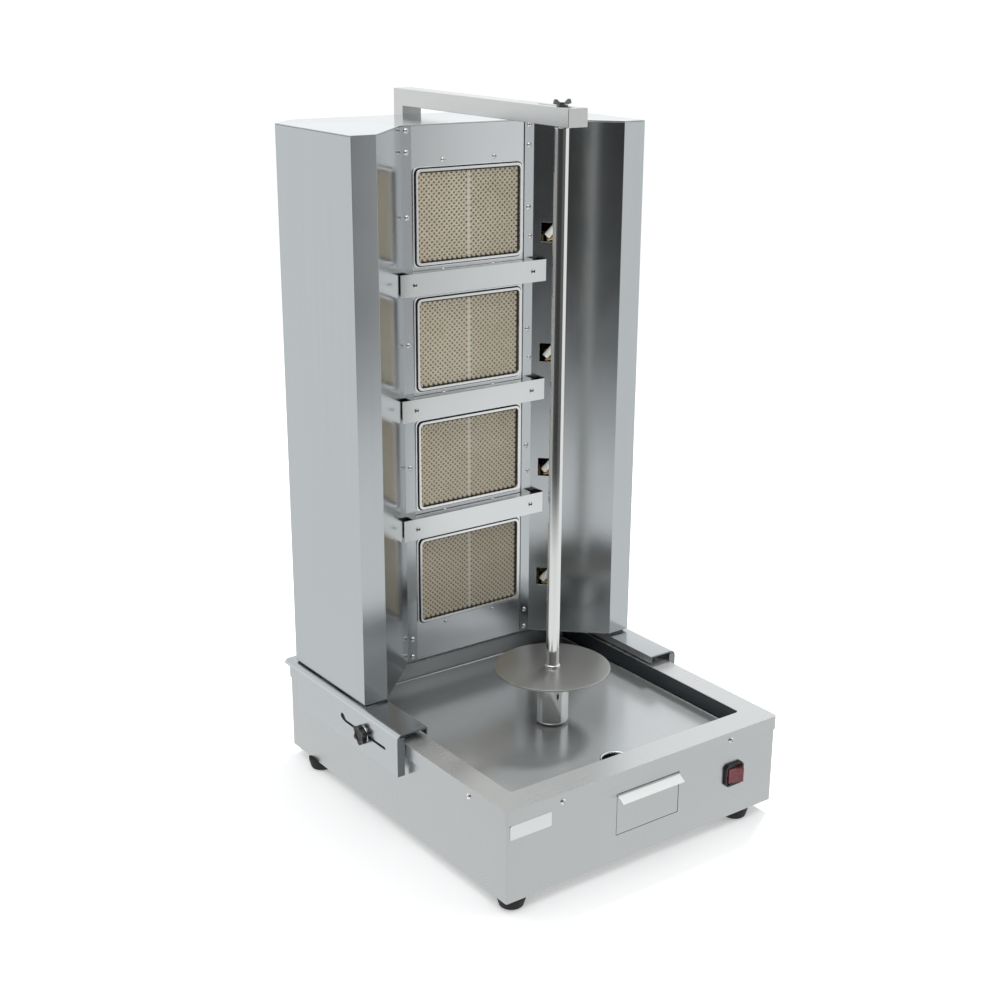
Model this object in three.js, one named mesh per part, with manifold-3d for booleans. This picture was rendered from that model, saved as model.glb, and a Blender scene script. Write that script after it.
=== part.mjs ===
// Four-burner vertical rotisserie broiler (doner / gyro machine), in millimetres.
// +X is the machine's right as seen from behind it, -Y is the operator's side, +Z is up.
// The feet stand on z = 0, and the origin is under the middle of the whole machine.
import * as THREE from 'three';
import { mergeVertices } from 'three/addons/utils/BufferGeometryUtils.js';
import Module from 'manifold-3d';

const wasm = await Module();
wasm.setup();

// ---------------------------------------------------------------- driving dimensions
const CLEAR = 0.3;                    // gap between pieces that touch
const SHEET = 1.5;                    // stainless sheet of the base and the plates
const CASING = 1.2;                   // thinner sheet of the burner tower
const PAST = 5;                       // how far a cutter reaches past the face it opens
const OVERLAP = 0.2;                  // how far joined shapes run into each other

const FOOT_HEIGHT = 18;
const FOOT_RADIUS = 21;
const FOOT_BOTTOM_RADIUS = 17.5;
const FOOT_FRONT_Y = -274;
const FOOT_BACK_Y = 229;
const FOOT_LEFT_X = -226;
const FOOT_RIGHT_X = 196;
const FOOT_BACK_SHIFT = 9;            // the rear feet stand this much farther out than the front ones

const BASE_HALF_WIDTH = 250;
const BASE_HALF_DEPTH = 295;
const BASE_TOP = 160;                 // upper face of the deck
const DECK_OVERHANG = 2.5;            // deck flange outside the skirt
const DECK_FLANGE = 22;

const PAN_HALF_WIDTH = 214;
const PAN_FRONT_Y = -253.5;
const PAN_BACK_Y = 183;
const PAN_FLOOR = 132;                // upper face of the pan floor
const DRAIN_Y = -222;
const PAN_CENTRE_Y = (PAN_FRONT_Y + PAN_BACK_Y) / 2;
const PAN_HALF_DEPTH = (PAN_BACK_Y - PAN_FRONT_Y) / 2;
const DRAIN_RADIUS = 22;
const DRIVE_HOLE_RADIUS = 15.2;

const FLOOR_SLOTS = 5;                // air slots in the bottom plate
const VENT_HALF_HEIGHT = 3;
const VENT_RADIUS = 2.9;

const DRAWER_HALF_WIDTH = 57.7;
const DRAWER_BOTTOM = 60;
const DRAWER_TOP = 123;
const DRAWER_BACK_Y = -142;
const DRAWER_LIP_OUT = 13;
const DRAWER_LIP_DROP = 8;

const SWITCH_X = 167.2;
const SWITCH_Z = 88;
const NECK_HALF_WIDTH = 15;           // the switch's body behind the front sheet
const NECK_HALF_HEIGHT = 13.5;
const POCKET_HALF_WIDTH = 13.8;
const POCKET_HALF_HEIGHT = 12.3;
const ROCKER_HALF_HEIGHT = 11.8;
const GLAND_X = -180;
const GLAND_Z = 62;
const GLAND_NECK_RADIUS = 8;

const SPIT_Y = -67;                   // spit axis, on x = 0
const SPIT_RADIUS = 10;
const SPIT_COLLAR_RADIUS = 12.3;
const DISC_RADIUS = 87.75;
const DISC_TOP = 223;
const DISC_THICKNESS = 3;
const HUB_RADIUS = 25.5;
const HUB_EDGE = 6;                   // rounding of the hub's lower edge
const HUB_RECESS_RADIUS = 17.5;
const HUB_RECESS_TOP = 152;
const PIN_RADIUS = 6;

const TOWER_BOTTOM = 179.5;
const TOWER_TOP = 1005;
const TOWER_HALF_WIDTH = 255;
const TOWER_FRONT_Y = 57.4;           // narrow faces either side of the mouth
const TOWER_SIDE_BACK_Y = 265;
const TOWER_BACK_Y = 304;
const NARROW_INNER_X = 215.5;
const THROAT_X = 118;                 // where the angled deflectors meet the burner wall
const THROAT_Y = 151.1;
const FLANGE_EDGE_X = 100.5;
const REAR_CORNER_X = 209;
const REAR_EDGE_X = 194;

const BURNER_COUNT = 4;
const BURNER_PITCH = 187.5;
const LOWEST_BURNER_Z = 311;
const FRAME_HALF_W = 99;
const FRAME_HALF_H = 72.5;
const TILE_HALF_W = 91.2;             // visible ceramic inside the frame
const TILE_HALF_H = 65.6;
const BEAD_WIDTH = 3.8;               // raised bead round the ceramic
const BEAD_HEIGHT = 4.2;
const PLAQUE_DEPTH = 13;
const PANEL_Y = THROAT_Y + CASING + CLEAR;
const PLAQUE_Y = PANEL_Y;

const STRIP_HALF_LENGTH = 131.8;
const STRIP_HALF_HEIGHT = 16.7;
const STRIP_Y = 135.1;

const INJECTOR_DROP = 36;             // gas train height below each burner centre
const GAS_Y = 178;
const VALVE_X = 152;
const MANIFOLD_X = 175;
const MANIFOLD_Y = 190;
const MANIFOLD_RADIUS = 9;
const INLET_Z = 222;
const INLET_END_Y = 346.8;
const WINDOW_START = 12.4;            // along the deflector from the throat
const WINDOW_WIDTH = 19.5;
const WINDOW_TOP = -21.5;             // from the burner centre
const WINDOW_BOTTOM = -51;

const BRACKET_PLATE_TOP = 176;
const BRACKET_SHEET = 2;
const BRACKET_FRONT_Y = -50;
const BRACKET_BACK_Y = 285;
const BRACKET_INNER_X = 214.5;
const BRACKET_OUTER_X = 266;
const BRACKET_BOTTOM = 110;
const BRACKET_BEND = 9;
const BRACKET_LIP_GAP = 4.5;
const RUNNER_INNER_X = 228;            // slide bar under the bracket's plate
const RUNNER_OUTER_X = 242;
const RUNNER_INSET = 8;
const FLANGE_BACK_Y = 245;
const SLOT_Z = 142;
const SLOT_FRONT_Y = -15;
const SLOT_BACK_Y = 97;
const SLOT_WIDTH = 4.6;
const STUD_Y = 43.5;
const SLOT_EYE_RADIUS = 5.2;          // round eye at the turned-up end of the slot
const SLOT_EYE_BACK = 8;
const SLOT_EYE_RISE = 5.2;
const STUD_RADIUS = 1.9;
const CLAMP_KNOB_RADIUS = 16.4;
const CLAMP_KNOB_BACK = 2.8;          // grip, from the bracket's face
const CLAMP_KNOB_FRONT = 9.4;
const CLAMP_WASHER_RADIUS = 9.5;
const CLAMP_LOBE_DEPTH = 2.2;
const BRACKET_STOP_WIDTH = 12;         // folded lip at the bracket's front end

const ARM_HALF_WIDTH = 16.5;
const ARM_BOTTOM = 1017.4;
const ARM_HEIGHT = 25;
const ARM_FRONT_Y = -101.7;
const ARM_WALL = 2;
const POST_FRONT_Y = 304.6;
const POST_BOTTOM = 700;
const SOCKET_BOTTOM = 760;
const SOCKET_TOP = 960;

const Y_CENTRE = 19;                  // middle of the whole depth, seen from the middle of the base

// ---------------------------------------------------------------- materials
const steel = (shade, roughness) => new THREE.MeshStandardMaterial({
  color: new THREE.Color(shade, shade * 1.01, shade * 1.015), roughness, metalness: 1,
});
const plain = (color, roughness, metalness = 0) => new THREE.MeshStandardMaterial({
  color, roughness, metalness,
});
const CASING_STEEL = () => steel(0.66, 0.32);
const BRIGHT_STEEL = () => steel(0.78, 0.24);
const POLISHED_STEEL = () => steel(0.8, 0.12);
const DULL_STEEL = () => steel(0.5, 0.4);
const BLACK_RUBBER = () => plain(0x0c0c0d, 0.85);
const BLACK_PLASTIC = () => plain(0x101113, 0.45);
const RED_PLASTIC = () => plain(0x9c2030, 0.25);
const CERAMIC = () => plain(0xa89b82, 0.9);
const BRASS = () => plain(0xb08d45, 0.35, 1);
const CAST_GREY = () => plain(0x4c4f52, 0.6, 0.6);

// ---------------------------------------------------------------- geometry helpers
const v2 = (x, y) => new THREE.Vector2(x, y);

function polygon(points) {
  return new THREE.Shape(points.map(([x, y]) => v2(x, y)));
}

function roundedRect(halfW, halfH, radius, cx = 0, cy = 0) {
  const shape = new THREE.Shape();
  const quarter = Math.PI / 2;
  shape.absarc(cx + halfW - radius, cy + halfH - radius, radius, 0, quarter);
  shape.absarc(cx - halfW + radius, cy + halfH - radius, radius, quarter, 2 * quarter);
  shape.absarc(cx - halfW + radius, cy - halfH + radius, radius, 2 * quarter, 3 * quarter);
  shape.absarc(cx + halfW - radius, cy - halfH + radius, radius, 3 * quarter, 4 * quarter);
  return shape;
}

function circle(radius, cx = 0, cy = 0) {
  const shape = new THREE.Shape();
  shape.absarc(cx, cy, radius, 0, 2 * Math.PI);
  return shape;
}

function octagon(radius, cx, cy) {
  const points = [];
  for (let i = 0; i < 8; i += 1) {
    const angle = ((i + 0.5) * Math.PI) / 4;
    points.push([cx + radius * Math.cos(angle), cy + radius * Math.sin(angle)]);
  }
  return polygon(points);
}

function withHoles(shape, holes) {
  shape.holes.push(...holes);
  return shape;
}

// Prisms: a shape drawn in a row plane, pulled from one coordinate to another.
function prism(shape, from, to, basis, segments) {
  const geometry = new THREE.ExtrudeGeometry(shape, {
    depth: to - from, bevelEnabled: false, curveSegments: segments,
  });
  geometry.translate(0, 0, from);
  return geometry.applyMatrix4(basis);
}
const AXIS_X = new THREE.Vector3(1, 0, 0);
const AXIS_Y = new THREE.Vector3(0, 1, 0);
const AXIS_Z = new THREE.Vector3(0, 0, 1);
const BASIS_Z = new THREE.Matrix4();
const BASIS_X = new THREE.Matrix4().makeBasis(AXIS_Y, AXIS_Z, AXIS_X);
const BASIS_Y = new THREE.Matrix4().makeBasis(AXIS_X, AXIS_Z, AXIS_Y.clone().negate());
const prismZ = (shape, z0, z1, segments = 2) => prism(shape, z0, z1, BASIS_Z, segments);
const prismX = (shape, x0, x1, segments = 2) => prism(shape, x0, x1, BASIS_X, segments);
const prismY = (shape, y0, y1, segments = 2) => prism(shape, -y1, -y0, BASIS_Y, segments);

function box(x0, x1, y0, y1, z0, z1) {
  const geometry = new THREE.BoxGeometry(x1 - x0, y1 - y0, z1 - z0);
  return geometry.translate((x0 + x1) / 2, (y0 + y1) / 2, (z0 + z1) / 2);
}

// Body of revolution about Z from [radius, height] pairs that start and end on the axis.
function turned(profile, segments = 24) {
  const geometry = new THREE.LatheGeometry(profile.map(([r, h]) => v2(r, h)), segments);
  return geometry.rotateX(Math.PI / 2);
}
const alongX = (geometry) => geometry.rotateY(Math.PI / 2);
const alongY = (geometry) => geometry.rotateX(-Math.PI / 2);

// Closed outline of a bent sheet that follows a path, its thickness laid on the left side.
function bentSheet(path, thickness) {
  const points = path.map(([x, y]) => v2(x, y));
  const last = points.length - 1;
  const normals = [];
  for (let i = 0; i < last; i += 1) {
    const direction = points[i + 1].clone().sub(points[i]).normalize();
    normals.push(v2(-direction.y, direction.x));
  }
  const offset = points.map((point, i) => {
    const before = normals[Math.max(i - 1, 0)];
    const after = normals[Math.min(i, last - 1)];
    const mitre = before.clone().add(after);
    const reach = (2 * thickness) / mitre.lengthSq();
    return point.clone().addScaledVector(mitre, reach);
  });
  return new THREE.Shape([...points, ...offset.reverse()]);
}

// Points of a round bend about a centre, for use inside a sheet path.
function bend(cx, cy, radius, fromDeg, toDeg, steps) {
  const points = [];
  for (let i = 0; i <= steps; i += 1) {
    const angle = THREE.MathUtils.degToRad(fromDeg + ((toDeg - fromDeg) * i) / steps);
    points.push([cx + radius * Math.cos(angle), cy + radius * Math.sin(angle)]);
  }
  return points;
}

// ---------------------------------------------------------------- boolean helpers
function solid(geometry) {
  const bare = geometry.clone();
  bare.deleteAttribute('normal');
  bare.deleteAttribute('uv');
  const merged = mergeVertices(bare, 1e-4);
  return new wasm.Manifold(new wasm.Mesh({
    numProp: 3,
    vertProperties: new Float32Array(merged.attributes.position.array),
    triVerts: new Uint32Array(merged.index.array),
  }));
}

function geometryOf(manifold) {
  const mesh = manifold.getMesh();
  const geometry = new THREE.BufferGeometry();
  geometry.setAttribute('position', new THREE.BufferAttribute(mesh.vertProperties, 3));
  geometry.setIndex(new THREE.BufferAttribute(mesh.triVerts, 1));
  geometry.computeVertexNormals();
  return geometry;
}

function joined(...geometries) {
  return geometryOf(geometries.map(solid).reduce((a, b) => a.add(b)));
}

function cut(body, ...tools) {
  return geometryOf(tools.map(solid).reduce((a, b) => a.subtract(b), solid(body)));
}

function mirroredX(geometry) {
  const flipped = geometry.clone().applyMatrix4(new THREE.Matrix4().makeScale(-1, 1, 1));
  const source = flipped.index ? flipped : mergeVertices(flipped);
  const index = source.index.array;
  for (let i = 0; i < index.length; i += 3) {
    [index[i], index[i + 1]] = [index[i + 1], index[i]];
  }
  source.computeVertexNormals();
  return source;
}

function part(parent, name, geometry, material, position = [0, 0, 0]) {
  const mesh = new THREE.Mesh(geometry, material);
  mesh.name = name;
  mesh.position.set(...position);
  parent.add(mesh);
  return mesh;
}

const machine = new THREE.Group();
machine.position.y = -Y_CENTRE;
const base = new THREE.Group();
const tower = new THREE.Group();
const spit = new THREE.Group();
machine.add(base, tower, spit);
spit.position.y = SPIT_Y;

// ---------------------------------------------------------------- base housing
// The clamp studs pass through both sides of the base.
function makeStudHole(halfWidth) {
  return prismX(circle(STUD_RADIUS + CLEAR, STUD_Y, SLOT_Z), -halfWidth - PAST, halfWidth + PAST, 5);
}

function makeBaseShell() {
  const corner = 2;
  const outline = roundedRect(BASE_HALF_WIDTH, BASE_HALF_DEPTH, corner);
  const inside = roundedRect(BASE_HALF_WIDTH - SHEET, BASE_HALF_DEPTH - SHEET, corner - SHEET / 2);
  const skirt = prismZ(withHoles(outline, [inside]), FOOT_HEIGHT, BASE_TOP - SHEET - CLEAR);
  const margin = 0.8;
  const drawerMouth = box(
    -DRAWER_HALF_WIDTH - margin, DRAWER_HALF_WIDTH + margin,
    -BASE_HALF_DEPTH - PAST, -BASE_HALF_DEPTH + PAST, DRAWER_BOTTOM - margin, DRAWER_TOP + 2.5,
  );
  const switchHole = box(
    SWITCH_X - NECK_HALF_WIDTH - 0.5, SWITCH_X + NECK_HALF_WIDTH + 0.5, -BASE_HALF_DEPTH - PAST,
    -BASE_HALF_DEPTH + PAST, SWITCH_Z - NECK_HALF_HEIGHT - 0.5, SWITCH_Z + NECK_HALF_HEIGHT + 0.5,
  );
  const glandHole = prismY(
    circle(GLAND_NECK_RADIUS + 0.6, GLAND_X, GLAND_Z), BASE_HALF_DEPTH - PAST, BASE_HALF_DEPTH + PAST, 6,
  );
  return cut(skirt, drawerMouth, switchHole, glandHole, makeStudHole(BASE_HALF_WIDTH));
}

function makeDeck() {
  const halfW = BASE_HALF_WIDTH + DECK_OVERHANG;
  const halfD = BASE_HALF_DEPTH + DECK_OVERHANG;
  const corner = 6;
  const mouth = roundedRect(PAN_HALF_WIDTH, PAN_HALF_DEPTH, corner, 0, PAN_CENTRE_Y);
  const top = prismZ(withHoles(roundedRect(halfW, halfD, corner), [mouth]), BASE_TOP - SHEET, BASE_TOP);
  const rimHole = roundedRect(halfW - SHEET, halfD - SHEET, corner - SHEET);
  const rimTop = BASE_TOP - SHEET / 3;
  const rimShape = withHoles(roundedRect(halfW, halfD, corner), [rimHole]);
  const rim = prismZ(rimShape, BASE_TOP - DECK_FLANGE, rimTop);
  return cut(joined(top, rim), makeStudHole(halfW));
}

function makeDripPan() {
  const corner = 6;
  const top = BASE_TOP - SHEET - CLEAR;
  const rimWidth = 12;
  const grown = (by, radius) => (
    roundedRect(PAN_HALF_WIDTH + by, PAN_HALF_DEPTH + by, radius, 0, PAN_CENTRE_Y)
  );
  const outer = prismZ(grown(SHEET, corner + SHEET), PAN_FLOOR - SHEET, top);
  const rim = prismZ(grown(rimWidth, corner), top - SHEET, top);
  const inner = prismZ(grown(0, corner), PAN_FLOOR, top + PAST);
  const drain = prismZ(circle(DRAIN_RADIUS, 0, DRAIN_Y), PAN_FLOOR - PAST, PAN_FLOOR + PAST, 7);
  const driveHole = prismZ(circle(DRIVE_HOLE_RADIUS, 0, SPIT_Y), PAN_FLOOR - PAST, PAN_FLOOR + PAST, 12);
  return cut(joined(outer, rim), inner, drain, driveHole);
}

function makeBottomPlate() {
  const reachX = BASE_HALF_WIDTH - SHEET - CLEAR;
  const reachY = BASE_HALF_DEPTH - SHEET - CLEAR;
  const edge = 14;
  const tray = prismZ(roundedRect(reachX, reachY, 3), FOOT_HEIGHT, FOOT_HEIGHT + edge, 2);
  const hollow = roundedRect(reachX - SHEET, reachY - SHEET, 2);
  const inside = prismZ(hollow, FOOT_HEIGHT + SHEET, FOOT_HEIGHT + edge + PAST, 2);
  const slots = [];
  for (let i = 0; i < FLOOR_SLOTS; i += 1) {
    const slot = roundedRect(45, VENT_HALF_HEIGHT, VENT_RADIUS, 0, 40 + 22 * i);
    slots.push(prismZ(slot, FOOT_HEIGHT - PAST, FOOT_HEIGHT + PAST, 1));
  }
  return cut(tray, inside, ...slots);
}

function makeFoot() {
  const top = FOOT_HEIGHT - CLEAR;
  return turned([
    [0, 0], [FOOT_BOTTOM_RADIUS - 2, 0], [FOOT_BOTTOM_RADIUS, 1.6], [FOOT_RADIUS, top - 4], [FOOT_RADIUS, top],
    [0, top],
  ], 20);
}

part(base, 'base_shell', makeBaseShell(), CASING_STEEL());
part(base, 'base_deck', makeDeck(), CASING_STEEL());
part(base, 'drip_pan', makeDripPan(), BRIGHT_STEEL());
part(base, 'base_bottom', makeBottomPlate(), DULL_STEEL());
for (const [side, x] of [['left', FOOT_LEFT_X], ['right', FOOT_RIGHT_X]]) {
  const backX = x + FOOT_BACK_SHIFT * Math.sign(x);
  part(base, `foot_front_${side}`, makeFoot(), BLACK_RUBBER(), [x, FOOT_FRONT_Y, 0]);
  part(base, `foot_back_${side}`, makeFoot(), BLACK_RUBBER(), [backX, FOOT_BACK_Y, 0]);
}

// ---------------------------------------------------------------- grease drawer
function makeDrawerGuide() {
  const half = DRAWER_HALF_WIDTH + 0.4;
  const under = DRAWER_BOTTOM - 0.5 - SHEET;
  const top = PAN_FLOOR - SHEET - CLEAR;
  const ear = 10;
  const path = [[-half - ear, top], [-half, top], [-half, under + SHEET], [half, under + SHEET], [half, top],
    [half + ear, top]];
  const channel = bentSheet(path.reverse(), SHEET);
  return prismY(channel, -BASE_HALF_DEPTH + SHEET + CLEAR, DRAWER_BACK_Y + 3);
}

function makeDrawerBox() {
  const wall = CASING;
  const half = DRAWER_HALF_WIDTH - 1.2;
  const front = -BASE_HALF_DEPTH + SHEET + CLEAR;
  const body = box(-half, half, front, DRAWER_BACK_Y, DRAWER_BOTTOM, DRAWER_TOP - 8);
  const inside = box(
    -half + wall, half - wall, front + wall, DRAWER_BACK_Y - wall, DRAWER_BOTTOM + wall, DRAWER_TOP,
  );
  return cut(body, inside);
}

function makeDrawerFront() {
  const face = -BASE_HALF_DEPTH;
  const lip = [[face, DRAWER_BOTTOM], [face, DRAWER_TOP - SHEET],
    [face - DRAWER_LIP_OUT, DRAWER_TOP - SHEET - DRAWER_LIP_DROP]];
  return prismX(bentSheet(lip.reverse(), SHEET), -DRAWER_HALF_WIDTH, DRAWER_HALF_WIDTH);
}

part(base, 'drawer_guide', makeDrawerGuide(), DULL_STEEL());
part(base, 'grease_drawer_box', makeDrawerBox(), BRIGHT_STEEL());
part(base, 'grease_drawer_front', makeDrawerFront(), BRIGHT_STEEL());

// ---------------------------------------------------------------- switch and cable gland
const SWITCH_FACE_Y = -BASE_HALF_DEPTH - CLEAR;
const BEZEL_DEPTH = 4;
const ROCKER_TILT = THREE.MathUtils.degToRad(8);

function makeSwitchBezel() {
  const chamfer = 5;
  const half = 18;
  const rim = polygon([
    [SWITCH_X - half + chamfer, SWITCH_Z - half], [SWITCH_X + half - chamfer, SWITCH_Z - half],
    [SWITCH_X + half, SWITCH_Z - half + chamfer], [SWITCH_X + half, SWITCH_Z + half - chamfer],
    [SWITCH_X + half - chamfer, SWITCH_Z + half], [SWITCH_X - half + chamfer, SWITCH_Z + half],
    [SWITCH_X - half, SWITCH_Z + half - chamfer], [SWITCH_X - half, SWITCH_Z - half + chamfer],
  ]);
  const plate = prismY(rim, SWITCH_FACE_Y - BEZEL_DEPTH, SWITCH_FACE_Y);
  const block = (halfW, halfH, y0, y1) => (
    box(SWITCH_X - halfW, SWITCH_X + halfW, SWITCH_FACE_Y + y0, SWITCH_FACE_Y + y1, SWITCH_Z - halfH, SWITCH_Z + halfH)
  );
  const neck = block(NECK_HALF_WIDTH, NECK_HALF_HEIGHT, -1, 26);
  const pocket = block(POCKET_HALF_WIDTH, POCKET_HALF_HEIGHT, -10, 8);
  return cut(joined(plate, neck), pocket);
}

function makeRocker() {
  const outline = polygon([
    [-10, 4], [-12.4, 0], [-11.8, -6.8], [-3, -6.6], [11.8, -11.1], [12.6, 0], [10, 4],
  ]);
  return prismZ(outline, -ROCKER_HALF_HEIGHT, ROCKER_HALF_HEIGHT).rotateZ(-ROCKER_TILT);
}

function makeCableGland() {
  const inner = 3.6;
  const profile = [
    [inner, 0], [GLAND_NECK_RADIUS, 0], [GLAND_NECK_RADIUS, 7.6], [11, 7.6], [11, 13.6], [8.4, 15], [6.2, 23],
    [inner, 23], [inner, 0],
  ];
  return alongY(turned(profile, 18));
}

part(base, 'switch_bezel', makeSwitchBezel(), BLACK_PLASTIC());
part(base, 'switch_rocker', makeRocker(), RED_PLASTIC(), [SWITCH_X, SWITCH_FACE_Y, SWITCH_Z]);
part(base, 'cable_gland', makeCableGland(), BLACK_PLASTIC(), [GLAND_X, BASE_HALF_DEPTH - 7.3, GLAND_Z]);

// ---------------------------------------------------------------- spit drive
const BRACKET_UNDER_PAN = PAN_FLOOR - SHEET - CLEAR;
const MOTOR_BRACKET_SHEET = 3;
const GEARBOX_TOP = BRACKET_UNDER_PAN - MOTOR_BRACKET_SHEET - CLEAR;
const GEARBOX_HEIGHT = 44;
const SEAT_DEPTH = 12;                // socket of the spigot in the gearbox

function makeMotorBracket() {
  const plate = withHoles(roundedRect(62, 52, 6), [circle(20)]);
  return prismZ(plate, BRACKET_UNDER_PAN - MOTOR_BRACKET_SHEET, BRACKET_UNDER_PAN, 5);
}

function makeGearbox() {
  const housing = prismZ(roundedRect(45, 42, 8), GEARBOX_TOP - GEARBOX_HEIGHT, GEARBOX_TOP);
  const seatRadius = 13;
  const seatFloor = GEARBOX_TOP - SEAT_DEPTH;
  const seat = turned([
    [0, seatFloor], [seatRadius, seatFloor], [seatRadius, GEARBOX_TOP + PAST], [0, GEARBOX_TOP + PAST],
  ]);
  return cut(housing, seat);
}

function makeMotor() {
  const top = GEARBOX_TOP - GEARBOX_HEIGHT - CLEAR;
  return turned([[0, top - 52], [28, top - 52], [31, top - 49], [31, top], [0, top]]);
}

function makeDriveBush() {
  const bore = SPIT_RADIUS + 0.5;
  const flange = PAN_FLOOR + CLEAR;
  return turned([
    [bore, flange - 3.5], [14.4, flange - 3.5], [14.4, flange], [16.9, flange], [16.9, flange + 2.5],
    [14.5, flange + 4], [14.5, flange + 13], [bore, flange + 13], [bore, flange - 3.5],
  ]);
}

part(base, 'motor_bracket', makeMotorBracket(), DULL_STEEL(), [0, SPIT_Y, 0]);
part(base, 'gearbox', makeGearbox(), CAST_GREY(), [0, SPIT_Y, 0]);
part(base, 'drive_motor', makeMotor(), CAST_GREY(), [0, SPIT_Y, 0]);
part(base, 'drive_bush', makeDriveBush(), BRASS(), [0, SPIT_Y, 0]);

// ---------------------------------------------------------------- rotating spit
const SPIGOT_TOP = 190;
const HUB_BOTTOM = PAN_FLOOR + 0.6;
const HUB_TOP = DISC_TOP - DISC_THICKNESS - CLEAR;
const SHAFT_BOTTOM = DISC_TOP + CLEAR;
const SHAFT_TOP = ARM_BOTTOM - 1;
const PIN_TOP = ARM_BOTTOM + 17;

function makeSpigot() {
  const foot = GEARBOX_TOP - SEAT_DEPTH + 0.5;
  return turned([
    [0, foot], [SPIT_RADIUS, foot], [SPIT_RADIUS, SPIGOT_TOP - 3], [SPIT_RADIUS - 1, SPIGOT_TOP], [0, SPIGOT_TOP],
  ]);
}

function makeHub() {
  const bore = SPIT_RADIUS + CLEAR;
  return turned([
    [0, SPIGOT_TOP + 1], [bore, SPIGOT_TOP + 1], [bore, HUB_RECESS_TOP], [HUB_RECESS_RADIUS, HUB_RECESS_TOP],
    [HUB_RECESS_RADIUS, HUB_BOTTOM], [HUB_RADIUS - HUB_EDGE, HUB_BOTTOM],
    [HUB_RADIUS - 0.29 * HUB_EDGE, HUB_BOTTOM + 0.29 * HUB_EDGE], [HUB_RADIUS, HUB_BOTTOM + HUB_EDGE],
    [HUB_RADIUS, HUB_TOP], [0, HUB_TOP],
  ], 32);
}

function makeDisc() {
  const bottom = DISC_TOP - DISC_THICKNESS;
  const edge = 0.8;
  return turned([
    [0, bottom], [DISC_RADIUS - edge, bottom], [DISC_RADIUS, bottom + edge], [DISC_RADIUS, DISC_TOP - edge],
    [DISC_RADIUS - edge, DISC_TOP], [0, DISC_TOP],
  ], 48);
}

function makeShaft() {
  return turned([
    [0, SHAFT_BOTTOM], [SPIT_COLLAR_RADIUS, SHAFT_BOTTOM], [SPIT_COLLAR_RADIUS, SHAFT_BOTTOM + 1.6],
    [SPIT_RADIUS, SHAFT_BOTTOM + 4], [SPIT_RADIUS, SHAFT_TOP - 2], [SPIT_RADIUS - 2, SHAFT_TOP],
    [PIN_RADIUS, SHAFT_TOP], [PIN_RADIUS, PIN_TOP - 1], [PIN_RADIUS - 1, PIN_TOP], [0, PIN_TOP],
  ]);
}

part(spit, 'drive_spigot', makeSpigot(), POLISHED_STEEL());
part(spit, 'spit_hub', makeHub(), POLISHED_STEEL());
part(spit, 'spit_disc', makeDisc(), DULL_STEEL());
part(spit, 'spit_shaft', makeShaft(), POLISHED_STEEL());

// ---------------------------------------------------------------- tower casing
const TOWER_OUTLINE = [
  [THROAT_X, THROAT_Y], [NARROW_INNER_X, TOWER_FRONT_Y], [TOWER_HALF_WIDTH, TOWER_FRONT_Y],
  [TOWER_HALF_WIDTH, TOWER_SIDE_BACK_Y], [REAR_CORNER_X, TOWER_BACK_Y],
];
const CASING_TOP = TOWER_TOP - SHEET - CLEAR;

const burnerZ = (i) => LOWEST_BURNER_Z + BURNER_PITCH * i;
const burnerIndices = Array.from({ length: BURNER_COUNT }, (_, i) => i);

function makeWing() {
  const path = [[FLANGE_EDGE_X, THROAT_Y], ...TOWER_OUTLINE, [REAR_EDGE_X, TOWER_BACK_Y]];
  return prismZ(bentSheet(path, CASING), TOWER_BOTTOM, CASING_TOP);
}

// Sight windows in the right deflector, one beside each injector.
function makeWindowCutters() {
  const along = v2(NARROW_INNER_X - THROAT_X, TOWER_FRONT_Y - THROAT_Y).normalize();
  const middle = WINDOW_START + WINDOW_WIDTH / 2;
  const height = WINDOW_TOP - WINDOW_BOTTOM;
  return burnerIndices.map((i) => {
    const cutter = new THREE.BoxGeometry(WINDOW_WIDTH, 12, height);
    cutter.rotateZ(Math.atan2(along.y, along.x));
    const z = burnerZ(i) + (WINDOW_TOP + WINDOW_BOTTOM) / 2;
    return cutter.translate(THROAT_X + along.x * middle, THROAT_Y + along.y * middle, z);
  });
}

function makeTopCover() {
  const right = TOWER_OUTLINE;
  const left = right.map(([x, y]) => [-x, y]).reverse();
  return prismZ(polygon([...right, ...left]), TOWER_TOP - SHEET, TOWER_TOP);
}

function makeBackPanel() {
  const halfW = REAR_EDGE_X - 1.3;
  const halfH = (CASING_TOP - TOWER_BOTTOM) / 2;
  const middle = (CASING_TOP + TOWER_BOTTOM) / 2;
  const holes = [octagon(MANIFOLD_RADIUS + 2, MANIFOLD_X, INLET_Z)];
  for (const i of burnerIndices) {
    holes.push(octagon(5.5, VALVE_X, burnerZ(i) - INJECTOR_DROP));
  }
  for (const x of [-120, 92]) {
    for (let row = 0; row < 8; row += 1) {
      holes.push(roundedRect(34, VENT_HALF_HEIGHT, VENT_RADIUS, x, 330 + 20 * row + (row > 3 ? 340 : 0)));
    }
  }
  const plate = withHoles(roundedRect(halfW, halfH, 1, 0, middle), holes);
  return prismY(plate, TOWER_BACK_Y - SHEET, TOWER_BACK_Y, 1);
}

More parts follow.
